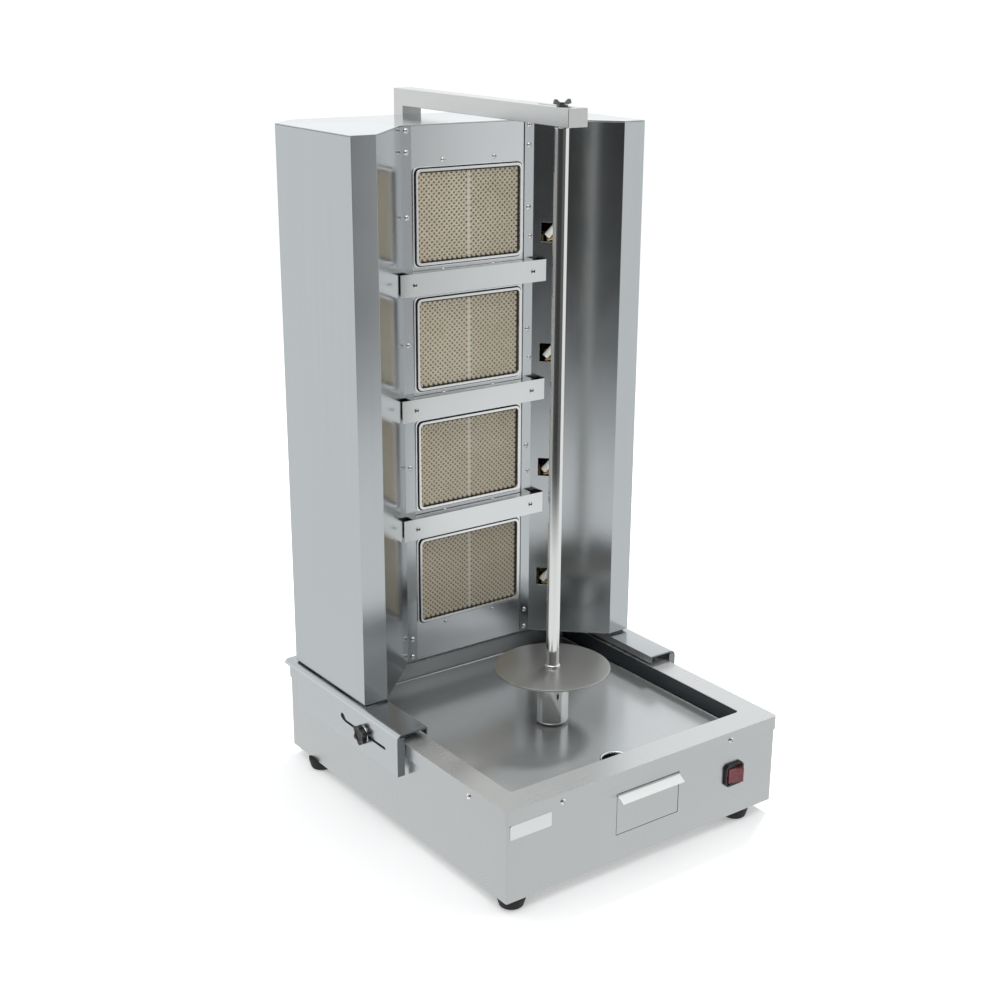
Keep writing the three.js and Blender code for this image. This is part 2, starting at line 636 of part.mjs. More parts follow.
function makeTowerBasePlate() {
  const inset = 5;
  const slope = Math.hypot(NARROW_INNER_X - THROAT_X, THROAT_Y - TOWER_FRONT_Y);
  const shift = (inset * slope) / (THROAT_Y - TOWER_FRONT_Y);
  const right = [
    [THROAT_X, THROAT_Y + inset], [NARROW_INNER_X + shift - inset, TOWER_FRONT_Y + inset],
    [TOWER_HALF_WIDTH - inset, TOWER_FRONT_Y + inset], [TOWER_HALF_WIDTH - inset, TOWER_SIDE_BACK_Y - inset],
    [REAR_CORNER_X - inset, TOWER_BACK_Y - inset],
  ];
  const left = right.map(([x, y]) => [-x, y]).reverse();
  return prismZ(polygon([...right, ...left]), BRACKET_PLATE_TOP + CLEAR, TOWER_BOTTOM - CLEAR);
}

function makeBurnerPanel() {
  const halfH = (CASING_TOP - TOWER_BOTTOM) / 2;
  const middle = (CASING_TOP + TOWER_BOTTOM) / 2;
  const mouths = burnerIndices.map((i) => roundedRect(94, 68.5, 2, 0, burnerZ(i)));
  const plate = withHoles(roundedRect(THROAT_X - 1, halfH, 1, 0, middle), mouths);
  return prismY(plate, PANEL_Y, PANEL_Y + SHEET, 2);
}

part(tower, 'wing_left', mirroredX(makeWing()), CASING_STEEL());
part(tower, 'wing_right', cut(makeWing(), ...makeWindowCutters()), CASING_STEEL());
part(tower, 'tower_top_cover', makeTopCover(), CASING_STEEL());
part(tower, 'tower_back_panel', makeBackPanel(), CASING_STEEL());
part(tower, 'tower_base_plate', makeTowerBasePlate(), DULL_STEEL());
part(tower, 'burner_panel', makeBurnerPanel(), BRIGHT_STEEL());

// ---------------------------------------------------------------- infrared burners
function makeBurnerFrame() {
  const mouth = () => roundedRect(TILE_HALF_W, TILE_HALF_H, 6);
  const back = PANEL_Y - CLEAR;
  const leaf = prismY(withHoles(roundedRect(FRAME_HALF_W, FRAME_HALF_H, 8), [mouth()]), back - CASING, back);
  const ring = withHoles(roundedRect(TILE_HALF_W + BEAD_WIDTH, TILE_HALF_H + BEAD_WIDTH, 8), [mouth()]);
  const bead = prismY(ring, back - BEAD_HEIGHT, back - CASING + OVERLAP);
  return joined(leaf, bead);
}

function makePlaque() {
  const halfW = TILE_HALF_W + 1.8;
  const front = PLAQUE_Y;
  const back = PLAQUE_Y + PLAQUE_DEPTH;
  const seam = 0.7;
  const outline = polygon([
    [-halfW, front], [-seam, front], [-seam, front + 1.2], [seam, front + 1.2], [seam, front],
    [halfW, front], [halfW, back], [-halfW, back],
  ]);
  return prismZ(outline, -TILE_HALF_H - 1.9, TILE_HALF_H + 1.9);
}

function makeBurnerBody() {
  const halfW = 97;
  const halfH = 71;
  const front = PANEL_Y + SHEET + CLEAR;
  const back = front + 46;
  const shell = box(-halfW, halfW, front, back, -halfH, halfH);
  const mouth = 124;
  const trumpet = (start, end, radius) => alongX(turned([
    [0, start], [radius, start], [radius, mouth - 10], [radius + 3, end], [0, end],
  ], 16));
  const tube = trumpet(halfW - 4, mouth, 10);
  const bore = trumpet(halfW - 12, mouth + 1, 8);
  const cavity = box(-halfW + 3.4, halfW - 3.4, front - 5, back - 1.5, -halfH + 3, halfH - 3);
  const place = (geometry) => geometry.translate(0, GAS_Y, -INJECTOR_DROP);
  return cut(joined(shell, place(tube)), cavity, place(bore));
}

for (const i of burnerIndices) {
  const place = [0, 0, burnerZ(i)];
  part(tower, `burner_body_${i + 1}`, makeBurnerBody(), DULL_STEEL(), place);
  part(tower, `burner_plaque_${i + 1}`, makePlaque(), CERAMIC(), place);
  part(tower, `burner_frame_${i + 1}`, makeBurnerFrame(), BRIGHT_STEEL(), place);
}

// Folded cover strips between the burners.
function makeBridgeStrip() {
  const face = STRIP_Y;
  const back = THROAT_Y - CLEAR;
  const h = STRIP_HALF_HEIGHT;
  const profile = [[back, -h], [face, -h], [face, h], [back, h]];
  const channel = prismX(bentSheet(profile.reverse(), CASING), -STRIP_HALF_LENGTH, STRIP_HALF_LENGTH);
  const reach = STRIP_HALF_LENGTH + PAST;
  const clear = THROAT_X - 3;
  const behind = face + CASING + 0.05;
  const trims = [-1, 1].map((side) => {
    const from = Math.min(side * clear, side * reach);
    const to = Math.max(side * clear, side * reach);
    return box(from, to, behind, back + PAST, -h - PAST, h + PAST);
  });
  return cut(channel, ...trims);
}

for (let i = 0; i < BURNER_COUNT - 1; i += 1) {
  const middle = burnerZ(i) + BURNER_PITCH / 2;
  part(tower, `bridge_strip_${i + 1}`, makeBridgeStrip(), BRIGHT_STEEL(), [0, 0, middle]);
}

// ---------------------------------------------------------------- gas train
function makeManifold() {
  const top = burnerZ(BURNER_COUNT - 1) - INJECTOR_DROP + 30;
  const foot = INLET_Z - 12;
  const riser = turned([[0, foot], [MANIFOLD_RADIUS, foot], [MANIFOLD_RADIUS, top], [0, top]], 16);
  const pipe = MANIFOLD_RADIUS - 1;
  const end = INLET_END_Y - MANIFOLD_Y;
  const inlet = alongY(turned([
    [0, 0], [pipe, 0], [pipe, 118], [12, 118], [12, 128], [pipe, 130], [6, 134], [6.8, 138], [6, 141], [6.8, 145],
    [5.8, end], [0, end],
  ], 16)).translate(0, 0, INLET_Z);
  return joined(riser, inlet);
}

function makeValve() {
  const end = MANIFOLD_X - MANIFOLD_RADIUS - CLEAR - VALVE_X;
  const body = alongX(turned([
    [0, -22], [2, -22], [4.5, -13], [6.5, -13], [6.5, -8], [10, -8], [10, 8], [7, 8], [7, end], [0, end],
  ], 12));
  const gland = alongY(turned([[0, 2], [7, 2], [7, 12], [0, 12]], 12));
  return joined(body, gland);
}

// Control knob with its long spindle, turning about Y.
function makeGasKnob() {
  const start = 12.5;
  const panel = TOWER_BACK_Y - GAS_Y;
  const skirt = panel + 6;
  const face = panel + 22;
  const spindleRadius = 3.5;
  const spindle = alongY(turned([[0, start], [spindleRadius, start], [spindleRadius, skirt], [0, skirt]], 12));
  const grip = alongY(turned([
    [0, panel + 3], [17, panel + 3], [17, skirt], [13, skirt + 2], [11.5, face], [0, face],
  ], 20));
  const lever = box(-15, 15, skirt, face, -3.5, 3.5);
  return joined(spindle, grip, lever);
}

part(tower, 'gas_manifold', makeManifold(), BRASS(), [MANIFOLD_X, MANIFOLD_Y, 0]);
for (const i of burnerIndices) {
  const place = [VALVE_X, GAS_Y, burnerZ(i) - INJECTOR_DROP];
  part(tower, `gas_valve_${i + 1}`, makeValve(), BRASS(), place);
  part(tower, `gas_knob_${i + 1}`, makeGasKnob(), BLACK_PLASTIC(), place);
}

// ---------------------------------------------------------------- sliding brackets and clamps
function makeBracket() {
  const t = BRACKET_SHEET;
  const inside = BRACKET_BEND - t;
  const lipBottom = BASE_TOP + BRACKET_LIP_GAP;
  const under = BRACKET_PLATE_TOP - t;
  const bendX = BRACKET_OUTER_X - BRACKET_BEND;
  const bendZ = BRACKET_PLATE_TOP - BRACKET_BEND;
  const path = [
    [BRACKET_INNER_X + t, lipBottom], [BRACKET_INNER_X + t, under],
    ...bend(bendX, bendZ, inside, 90, 0, 5), [BRACKET_OUTER_X - t, BRACKET_BOTTOM],
  ];
  const channel = prismY(bentSheet(path, t), BRACKET_FRONT_Y, BRACKET_BACK_Y);
  const runner = box(
    RUNNER_INNER_X, RUNNER_OUTER_X, 0, BRACKET_BACK_Y - RUNNER_INSET, BASE_TOP + CLEAR, under + t / 4,
  );
  const stop = box(
    BRACKET_OUTER_X - BRACKET_STOP_WIDTH, BRACKET_OUTER_X - t / 4, BRACKET_FRONT_Y, BRACKET_FRONT_Y + t,
    BRACKET_BOTTOM, bendZ + inside * 0.6,
  );
  const rear = box(
    BRACKET_OUTER_X - 20, BRACKET_OUTER_X + PAST, FLANGE_BACK_Y, BRACKET_BACK_Y + PAST,
    BRACKET_BOTTOM - PAST, under - PAST,
  );
  return cut(joined(channel, runner, stop), rear, makeSlotCutter());
}

// The clamp slot runs level and turns up at its rear end.
function makeSlotCutter() {
  const half = SLOT_WIDTH / 2;
  const endY = SLOT_BACK_Y + SLOT_EYE_BACK;
  const endZ = SLOT_Z + SLOT_EYE_RISE;
  const eye = [-80, -35, 10, 55, 100, 145].map((deg) => {
    const angle = THREE.MathUtils.degToRad(deg);
    return [endY + SLOT_EYE_RADIUS * Math.cos(angle), endZ + SLOT_EYE_RADIUS * Math.sin(angle)];
  });
  const shape = polygon([
    [SLOT_FRONT_Y, SLOT_Z - half], [SLOT_BACK_Y, SLOT_Z - half], ...eye,
    [SLOT_BACK_Y - half, SLOT_Z + half], [SLOT_FRONT_Y, SLOT_Z + half], [SLOT_FRONT_Y - half, SLOT_Z],
  ]);
  return prismX(shape, BRACKET_OUTER_X - PAST, BRACKET_OUTER_X + PAST);
}

// Star knob on a threaded stud, standing outside the right flange, its axis along X.
function makeClampKnob() {
  const lobes = 6;
  const points = [];
  const count = lobes * 6;
  for (let i = 0; i < count; i += 1) {
    const angle = (i / count) * 2 * Math.PI;
    const radius = CLAMP_KNOB_RADIUS - CLAMP_LOBE_DEPTH * (1 - Math.cos(lobes * angle));
    points.push([radius * Math.cos(angle), radius * Math.sin(angle)]);
  }
  const face = BRACKET_OUTER_X + CLEAR;
  const studEnd = BASE_HALF_WIDTH - 12;
  const grip = prismX(polygon(points), face + CLAMP_KNOB_BACK, face + CLAMP_KNOB_FRONT);
  const washer = alongX(turned([
    [0, face], [CLAMP_WASHER_RADIUS, face], [CLAMP_WASHER_RADIUS, face + CLAMP_KNOB_BACK + OVERLAP],
    [0, face + CLAMP_KNOB_BACK + OVERLAP],
  ], 16));
  const stud = alongX(turned([
    [0, studEnd], [STUD_RADIUS, studEnd], [STUD_RADIUS, face + 1], [0, face + 1],
  ], 12));
  return joined(grip, washer, stud);
}

part(tower, 'bracket_right', makeBracket(), CASING_STEEL());
part(tower, 'bracket_left', mirroredX(makeBracket()), CASING_STEEL());
part(base, 'clamp_knob_right', makeClampKnob(), BLACK_PLASTIC(), [0, STUD_Y, SLOT_Z]);
part(base, 'clamp_knob_left', mirroredX(makeClampKnob()), BLACK_PLASTIC(), [0, STUD_Y, SLOT_Z]);

// ---------------------------------------------------------------- spit arm
const POST_BACK_Y = POST_FRONT_Y + ARM_HEIGHT;
const ARM_TOP = ARM_BOTTOM + ARM_HEIGHT;

// L-shaped rectangular tube, open at the foot of its post and slotted over the spit.
function makeArm() {
  const lShape = (inset, foot) => polygon([
    [ARM_FRONT_Y + inset, ARM_BOTTOM + inset], [POST_FRONT_Y + inset, ARM_BOTTOM + inset],
    [POST_FRONT_Y + inset, foot], [POST_BACK_Y - inset, foot], [POST_BACK_Y - inset, ARM_TOP - inset],
    [ARM_FRONT_Y + inset, ARM_TOP - inset],
  ]);
  const outer = prismX(lShape(0, POST_BOTTOM), -ARM_HALF_WIDTH, ARM_HALF_WIDTH);
  const innerHalf = ARM_HALF_WIDTH - ARM_WALL;
  const inner = prismX(lShape(ARM_WALL, POST_BOTTOM - PAST), -innerHalf, innerHalf);
  const pinSlot = box(-6.8, 6.8, -92, -12, ARM_BOTTOM - PAST, ARM_BOTTOM + PAST);
  const screwSlot = box(-3.5, 3.5, -89, -15, ARM_TOP - PAST, ARM_TOP + PAST);
  return cut(outer, inner, pinSlot, screwSlot);
}

function makeArmSocket() {
  const half = ARM_HALF_WIDTH + 1;
  const seat = TOWER_BACK_Y + CLEAR;
  const back = POST_BACK_Y + 0.8;
  const ear = 18;
  const hat = [
    [half + ear, seat], [half, seat], [half, back], [-half, back], [-half, seat], [-half - ear, seat],
  ];
  return prismZ(bentSheet(hat.reverse(), 2), SOCKET_BOTTOM, SOCKET_TOP);
}

function makeTopBearing() {
  const floor = ARM_BOTTOM + ARM_WALL + 0.4;
  const roof = ARM_TOP - ARM_WALL - 0.4;
  const block = box(-13.8, 13.8, -12, 12, floor, roof);
  const boreRadius = PIN_RADIUS + CLEAR;
  const boreTop = PIN_TOP + 2 * CLEAR;
  const pinBore = turned([[0, floor - 1], [boreRadius, floor - 1], [boreRadius, boreTop], [0, boreTop]], 24);
  const screwBore = turned([[0, roof - 3.6], [3.3, roof - 3.6], [3.3, roof + 1], [0, roof + 1]], 16);
  return cut(block, pinBore, screwBore);
}

function makeWingScrew() {
  const seat = ARM_TOP + CLEAR;
  const tip = ARM_TOP - ARM_WALL - 3.6;
  const stem = turned([
    [0, tip], [2.8, tip], [2.8, seat], [8, seat], [8, seat + 1.6], [4.5, seat + 2], [4.2, seat + 5], [0, seat + 5],
  ], 20);
  const wing = polygon([
    [-15, seat + 3.4], [-13.5, seat + 9], [-10, seat + 9.4], [-4, seat + 4.4], [4, seat + 4.4],
    [10, seat + 9.4], [13.5, seat + 9], [15, seat + 3.4], [10, seat + 2.2], [-10, seat + 2.2],
  ]);
  return joined(stem, prismY(wing, -1.3, 1.3));
}

part(tower, 'arm_socket', makeArmSocket(), CASING_STEEL());
part(tower, 'spit_arm', makeArm(), BRIGHT_STEEL());
part(tower, 'spit_top_bearing', makeTopBearing(), BRASS(), [0, SPIT_Y, 0]);
part(tower, 'wing_screw', makeWingScrew(), DULL_STEEL(), [0, SPIT_Y, 0]);

export default machine;
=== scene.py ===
"""Looks of the four-burner vertical rotisserie broiler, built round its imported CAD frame."""

import math

import bpy
from mathutils import Matrix, Vector, noise


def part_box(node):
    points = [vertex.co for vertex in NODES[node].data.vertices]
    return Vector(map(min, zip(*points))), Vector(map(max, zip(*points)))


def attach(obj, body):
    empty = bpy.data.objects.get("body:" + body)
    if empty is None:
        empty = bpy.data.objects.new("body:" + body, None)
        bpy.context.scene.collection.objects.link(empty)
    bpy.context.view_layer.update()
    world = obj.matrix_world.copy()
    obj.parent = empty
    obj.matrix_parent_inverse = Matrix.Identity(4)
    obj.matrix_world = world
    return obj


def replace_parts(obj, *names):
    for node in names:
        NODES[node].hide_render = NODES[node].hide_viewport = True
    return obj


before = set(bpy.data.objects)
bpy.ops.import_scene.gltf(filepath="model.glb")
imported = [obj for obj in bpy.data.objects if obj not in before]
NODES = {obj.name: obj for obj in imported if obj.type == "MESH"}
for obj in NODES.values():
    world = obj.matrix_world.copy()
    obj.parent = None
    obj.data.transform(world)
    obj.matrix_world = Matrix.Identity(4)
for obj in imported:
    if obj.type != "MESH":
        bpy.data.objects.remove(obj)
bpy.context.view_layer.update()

MM = 0.001
Y_CENTRE = 19            # mm from the middle of the base to the middle of the whole machine
SPIT_Y = -67
BURNER_Z = [311, 498.5, 686, 873.5]


def at(x, y, z):
    """A point given in mm from the middle of the base, in the row frame."""
    return Vector((x, y - Y_CENTRE, z)) * MM


# ---------------------------------------------------------------- mesh helpers
class Shape:
    """Vertices and faces gathered from several closed surfaces, in mm about the middle of the base."""

    def __init__(self):
        self.verts = []
        self.faces = []

    def add(self, verts, faces, matrix=None):
        """Takes in one closed surface."""
        start = len(self.verts)
        for v in verts:
            v = Vector(v)
            self.verts.append(matrix @ v if matrix else v)
        self.faces += [[i + start for i in f] for f in faces]
        return self

    def piece(self, name, body, material, slot, sharp_deg=38, bevel=0.0):
        """The Blender object of all that was added, riding on a body."""
        mesh = bpy.data.meshes.new(name)
        points = [at(*v) for v in self.verts]
        mesh.from_pydata(points, [], self.faces)
        mesh.validate()
        mesh.polygons.foreach_set("use_smooth", [True] * len(mesh.polygons))
        mesh.set_sharp_from_angle(angle=math.radians(sharp_deg))
        obj = bpy.data.objects.new(name, mesh)
        bpy.context.scene.collection.objects.link(obj)
        obj.data.materials.append(material)
        if bevel:
            add_bevel(obj, bevel)
        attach(obj, body)
        return obj


def ring_faces(count, segments, closed=False):
    """Quads between consecutive rings of the same number of points."""
    faces = []
    for i in range(count if closed else count - 1):
        a = i * segments
        b = ((i + 1) % count) * segments
        for j in range(segments):
            k = (j + 1) % segments
            faces.append([a + j, a + k, b + k, b + j])
    return faces


def circle(segments):
    """The angles of a ring's points."""
    return [2 * math.pi * j / segments for j in range(segments)]


def closed_rings(rings, segments, low, high):
    """Rings of points about Z joined into one closed body, with an end point on the axis at both heights."""
    verts = [point for ring in rings for point in ring]
    faces = ring_faces(len(rings), segments)
    bottom, top = len(verts), len(verts) + 1
    last = (len(rings) - 1) * segments
    for j in range(segments):
        k = (j + 1) % segments
        faces.append([bottom, k, j])
        faces.append([top, last + j, last + k])
    return verts + [(0, 0, low), (0, 0, high)], faces


def still(angle, radius, height):
    """No wobble."""
    return 0.0


def lathe(profile, segments=64, wobble=still):
    """A body of revolution about Z from (radius, height) pairs; it starts and ends on the axis."""
    rings = []
    for r, z in profile[1:-1]:
        reach = [(a, r + wobble(a, r, z)) for a in circle(segments)]
        rings.append([(wide * math.cos(a), wide * math.sin(a), z) for a, wide in reach])
    return closed_rings(rings, segments, profile[0][1], profile[-1][1])


def ring_lathe(profile, segments=64):
    """A ring about Z from a closed loop of (radius, height) pairs."""
    verts = [(r * math.cos(a), r * math.sin(a), z) for r, z in profile for a in circle(segments)]
    return verts, ring_faces(len(profile), segments, closed=True)


def rounded_profile(points, radius, steps=4):
    """Rounds the inner corners of a (radius, height) profile."""
    out = [points[0]]
    for before, corner, after in zip(points, points[1:], points[2:]):
        c = Vector(corner)
        a = Vector(before) - c
        b = Vector(after) - c
        reach = min(radius, a.length * 0.45, b.length * 0.45)
        if reach < 0.02 or a.normalized().dot(b.normalized()) < -0.995:
            out.append(corner)
            continue
        p = c + a.normalized() * reach
        q = c + b.normalized() * reach
        for i in range(steps + 1):
            t = i / steps
            point = p.lerp(c, t).lerp(c.lerp(q, t), t)
            out.append((point.x, point.y))
    return out + [points[-1]]


def placed(x, y, z, direction):
    """Turns a body made about +Z to point along an axis, and puts it at a place."""
    turn = {
        "x": Matrix.Rotation(math.pi / 2, 4, "Y"),
        "-x": Matrix.Rotation(-math.pi / 2, 4, "Y"),
        "y": Matrix.Rotation(-math.pi / 2, 4, "X"),
        "-y": Matrix.Rotation(math.pi / 2, 4, "X"),
    }[direction]
    return Matrix.Translation((x, y, z)) @ turn


def rounded_rect(half_w, half_h, radius, steps=6):
    """The outline of a rectangle with round corners about the origin."""
    points = []
    for i, (sx, sy) in enumerate([(1, 1), (-1, 1), (-1, -1), (1, -1)]):
        for k in range(steps + 1):
            a = math.pi / 2 * (i + k / steps)
            points.append((
                sx * (half_w - radius) + radius * math.cos(a),
                sy * (half_h - radius) + radius * math.sin(a),
            ))
    return points


def prism(outline, low, high, plane="xy"):
    """A slab of an outline, pulled along the plane's normal from one height to another."""
    order = {"xy": (0, 1, 2), "xz": (0, 2, 1), "yz": (2, 0, 1)}[plane]
    verts = [tuple((across, up, h)[k] for k in order) for h in (low, high) for across, up in outline]
    n = len(outline)
    return verts, ring_faces(2, n) + [list(range(n))[::-1], list(range(n, 2 * n))]


def box(x0, x1, y0, y1, z0, z1):
    """A straight block between two corners."""
    return prism([(x0, y0), (x1, y0), (x1, y1), (x0, y1)], z0, z1)


HEAD_SEGMENTS = 24
HEAD_RINGS = [0.15, 0.3, 0.42, 0.52, 0.62, 0.75, 0.88, 0.97, 1.0]      # shares of the head's radius
HEAD_DOME, HEAD_MIDDLE = 0.75, 0.42                                    # fall to the rim, height in the cross
DRIVE_REACH, DRIVE_HALF_ARM, DRIVE_DEPTH = 0.6, 0.13, 0.55             # the cross, as shares of the head


def screw_head(radius, height):
    """A domed screw head about +Z, standing on z = 0, with a sunk cross drive."""
    verts = []
    for share in HEAD_RINGS:
        r = radius * share
        for a in circle(HEAD_SEGMENTS):
            x, y = r * math.cos(a), r * math.sin(a)
            z = height * (1 - share ** 3 * HEAD_DOME)
            if share < DRIVE_REACH and min(abs(x), abs(y)) < radius * DRIVE_HALF_ARM:
                z -= height * DRIVE_DEPTH
            verts.append((x, y, z))
    verts += [(radius * math.cos(a), radius * math.sin(a), 0) for a in circle(HEAD_SEGMENTS)]
    faces = [f[::-1] for f in ring_faces(len(HEAD_RINGS) + 1, HEAD_SEGMENTS)]
    middle = len(verts)
    verts.append((0, 0, height * HEAD_MIDDLE))
    faces += [[middle, j, (j + 1) % HEAD_SEGMENTS] for j in range(HEAD_SEGMENTS)]
    bottom = len(HEAD_RINGS) * HEAD_SEGMENTS
    faces.append([bottom + j for j in range(HEAD_SEGMENTS)][::-1])
    return verts, faces


# ---------------------------------------------------------------- modifiers for the sheet metal
MERGE_METRES = 2e-6
SHADE_SHARP_DEG = 28
BEVEL_FROM_DEG = 32


def make_weld_group():
    """Joins the split corners of a CAD mesh and shades it smooth but for its real edges."""
    group = bpy.data.node_groups.new("weld_and_smooth", "GeometryNodeTree")
    group.interface.new_socket(name="Geometry", in_out="INPUT", socket_type="NodeSocketGeometry")
    group.interface.new_socket(name="Geometry", in_out="OUTPUT", socket_type="NodeSocketGeometry")
    make, link = group.nodes.new, group.links.new
    source, out = make("NodeGroupInput"), make("NodeGroupOutput")
    merge = make("GeometryNodeMergeByDistance")
    merge.inputs["Distance"].default_value = MERGE_METRES
    faces = make("GeometryNodeSetShadeSmooth")
    faces.domain = "FACE"
    faces.inputs["Shade Smooth"].default_value = True
    edges = make("GeometryNodeSetShadeSmooth")
    edges.domain = "EDGE"
    edges.inputs["Shade Smooth"].default_value = False
    angle = make("GeometryNodeInputMeshEdgeAngle")
    sharp = make("FunctionNodeCompare")
    sharp.operation = "GREATER_THAN"
    sharp.inputs[1].default_value = math.radians(SHADE_SHARP_DEG)
    link(source.outputs[0], merge.inputs["Geometry"])
    link(merge.outputs["Geometry"], faces.inputs["Geometry"])
    link(faces.outputs["Geometry"], edges.inputs["Geometry"])
    link(angle.outputs["Unsigned Angle"], sharp.inputs[0])
    link(sharp.outputs["Result"], edges.inputs["Selection"])
    link(edges.outputs["Geometry"], out.inputs[0])
    return group


WELD = make_weld_group()


def add_bevel(obj, width_mm, segments=2):
    """Rounds the sharp edges of a piece."""
    bevel = obj.modifiers.new("edge_round", "BEVEL")
    bevel.width = width_mm * MM
    bevel.segments = segments
    bevel.limit_method = "ANGLE"
    bevel.angle_limit = math.radians(BEVEL_FROM_DEG)
    bevel.harden_normals = True


def finish_cad(node, material, bevel_mm, segments):
    """Gives a CAD node its material, smooth shading and softly rounded edges."""
    obj = NODES[node]
    obj.data.materials.clear()
    obj.data.materials.append(material)
    weld = obj.modifiers.new("weld", "NODES")
    weld.node_group = WELD
    if bevel_mm:
        add_bevel(obj, bevel_mm, segments)


# ---------------------------------------------------------------- materials
class Paint:
    """A node material built round one Principled shader, in object coordinates (metres)."""

    def __init__(self, name):
        self.material = bpy.data.materials.new(name)
        self.material.use_nodes = True
        self.tree = self.material.node_tree
        self.shader = self.tree.nodes["Principled BSDF"]
        self.place = self.node("ShaderNodeTexCoord").outputs["Object"]
        self.axes = None

    def node(self, kind, **props):
        made = self.tree.nodes.new(kind)
        for key, value in props.items():
            setattr(made, key, value)
        return made

    def link(self, a, b):
        self.tree.links.new(a, b)

    def set(self, **values):
        for key, value in values.items():
            self.shader.inputs[key.replace("_", " ")].default_value = value
        return self

    def axis(self, name):
        """The place along one axis."""
        if self.axes is None:
            self.axes = self.node("ShaderNodeSeparateXYZ")
            self.link(self.place, self.axes.inputs[0])
        return self.axes.outputs[name]

    def stretched(self, scale):
        mapping = self.node("ShaderNodeMapping")
        mapping.inputs["Scale"].default_value = scale
        self.link(self.place, mapping.inputs["Vector"])
        return mapping.outputs["Vector"]

    def noise(self, scale=1.0, detail=3.0, rough=0.55, stretch=None, distort=0.0):
        tex = self.node("ShaderNodeTexNoise")
        tex.inputs["Scale"].default_value = scale
        tex.inputs["Detail"].default_value = detail
        tex.inputs["Roughness"].default_value = rough
        tex.inputs["Distortion"].default_value = distort
        self.link(self.stretched(stretch) if stretch else self.place, tex.inputs["Vector"])
        return tex.outputs["Fac"]

    def span(self, value, low, high, to_low, to_high):
        node = self.node("ShaderNodeMapRange")
        for key, number in zip(("From Min", "From Max", "To Min", "To Max"), (low, high, to_low, to_high)):
            node.inputs[key].default_value = number
        self.link(value, node.inputs["Value"])
        return node.outputs["Result"]

    def math(self, kind, a, b):
        node = self.node("ShaderNodeMath", operation=kind)
        for socket, value in zip(node.inputs, (a, b)):
            if isinstance(value, (int, float)):
                socket.default_value = value
            else:
                self.link(value, socket)
        return node.outputs[0]

    def mix(self, fac, a, b):
        node = self.node("ShaderNodeMix", data_type="RGBA")
        self.link(fac, node.inputs[0])
        for socket, value in ((node.inputs[6], a), (node.inputs[7], b)):
            if isinstance(value, tuple):
                socket.default_value = (*value, 1)
            else:
                self.link(value, socket)
        return node.outputs[2]

    def colour(self, out):
        self.link(out, self.shader.inputs["Base Color"])

    def roughness(self, out):
        self.link(out, self.shader.inputs["Roughness"])

    def bump(self, height, strength, distance_mm):
        node = self.node("ShaderNodeBump")
        node.inputs["Strength"].default_value = strength
        node.inputs["Distance"].default_value = distance_mm * MM
        self.link(height, node.inputs["Height"])
        before = self.shader.inputs["Normal"].links
        if before:
            self.link(before[0].from_socket, node.inputs["Normal"])
        self.link(node.outputs["Normal"], self.shader.inputs["Normal"])


GRAIN = {"x": (4, 700, 700), "y": (700, 4, 700), "z": (700, 700, 4), "x_coarse": (3, 260, 260)}


def steel(name, shade, rough, grain="x", tint=(1.0, 1.0, 1.0), streak=0.014, smudge=0.02, bump=0.02,
          metallic=1.0, fine_spread=0.006):
    """Satin stainless: fine streaks along the grain, broad handling smudges and tiny scratches."""
    paint = Paint(name).set(Metallic=metallic)
    lines = paint.noise(1.0, 4.0, 0.6, GRAIN[grain])
    wide = tuple(v / 6 if v > 100 else v * 0.6 for v in GRAIN[grain])
    bands = paint.noise(1.0, 2.0, 0.5, wide)
    cloud = paint.noise(5.0, 3.0, 0.6, distort=0.4)
    tone = paint.math("ADD", paint.math("MULTIPLY", lines, 0.5), paint.math("MULTIPLY", bands, 0.5))
    dark = tuple(shade * t * (1 - streak) for t in tint)
    light = tuple(min(shade * t * (1 + streak), 1.0) for t in tint)
    paint.colour(paint.mix(paint.span(tone, 0.3, 0.7, 0, 1), dark, light))
    worn = paint.span(cloud, 0.35, 0.7, -smudge, smudge)
    fine = paint.span(lines, 0.3, 0.7, -fine_spread, fine_spread)
    paint.roughness(paint.math("ADD", paint.math("ADD", worn, fine), rough))
    paint.bump(cloud, bump, 0.5)
    return paint.material


def axis_span(material, axis, low_mm, high_mm, to_low=0.0, to_high=1.0):
    """A value that runs from one number to another between two places along an axis."""
    tree = material.node_tree
    axes = tree.nodes.new("ShaderNodeSeparateXYZ")
    tree.links.new(tree.nodes["Texture Coordinate"].outputs["Object"], axes.inputs[0])
    span = tree.nodes.new("ShaderNodeMapRange")
    for key, number in zip(("From Min", "From Max", "To Min", "To Max"),
                           (low_mm * MM, high_mm * MM, to_low, to_high)):
        span.inputs[key].default_value = number
    tree.links.new(axes.outputs[axis], span.inputs["Value"])
    return span.outputs["Result"]


def tone_beyond(material, axis, from_mm, full_mm, colour):
    """Past a place along an axis, the sheet has another colour."""
    tree = material.node_tree
    base = tree.nodes["Principled BSDF"].inputs["Base Color"]
    change = tree.nodes.new("ShaderNodeMix")
    change.data_type = "RGBA"
    change.inputs[7].default_value = (*colour, 1)
    tree.links.new(base.links[0].from_socket, change.inputs[6])
    tree.links.new(axis_span(material, axis, from_mm, full_mm), change.inputs[0])
    tree.links.new(change.outputs[2], base)


def dull_above(material, height_mm, metallic_below, metallic_above):
    """The flat top of a sheet is washed and scoured dull, so it scatters more light than its sides."""
    tree = material.node_tree
    worn = axis_span(material, "Z", height_mm - 0.8, height_mm - 0.3, metallic_below, metallic_above)
    tree.links.new(worn, tree.nodes["Principled BSDF"].inputs["Metallic"])


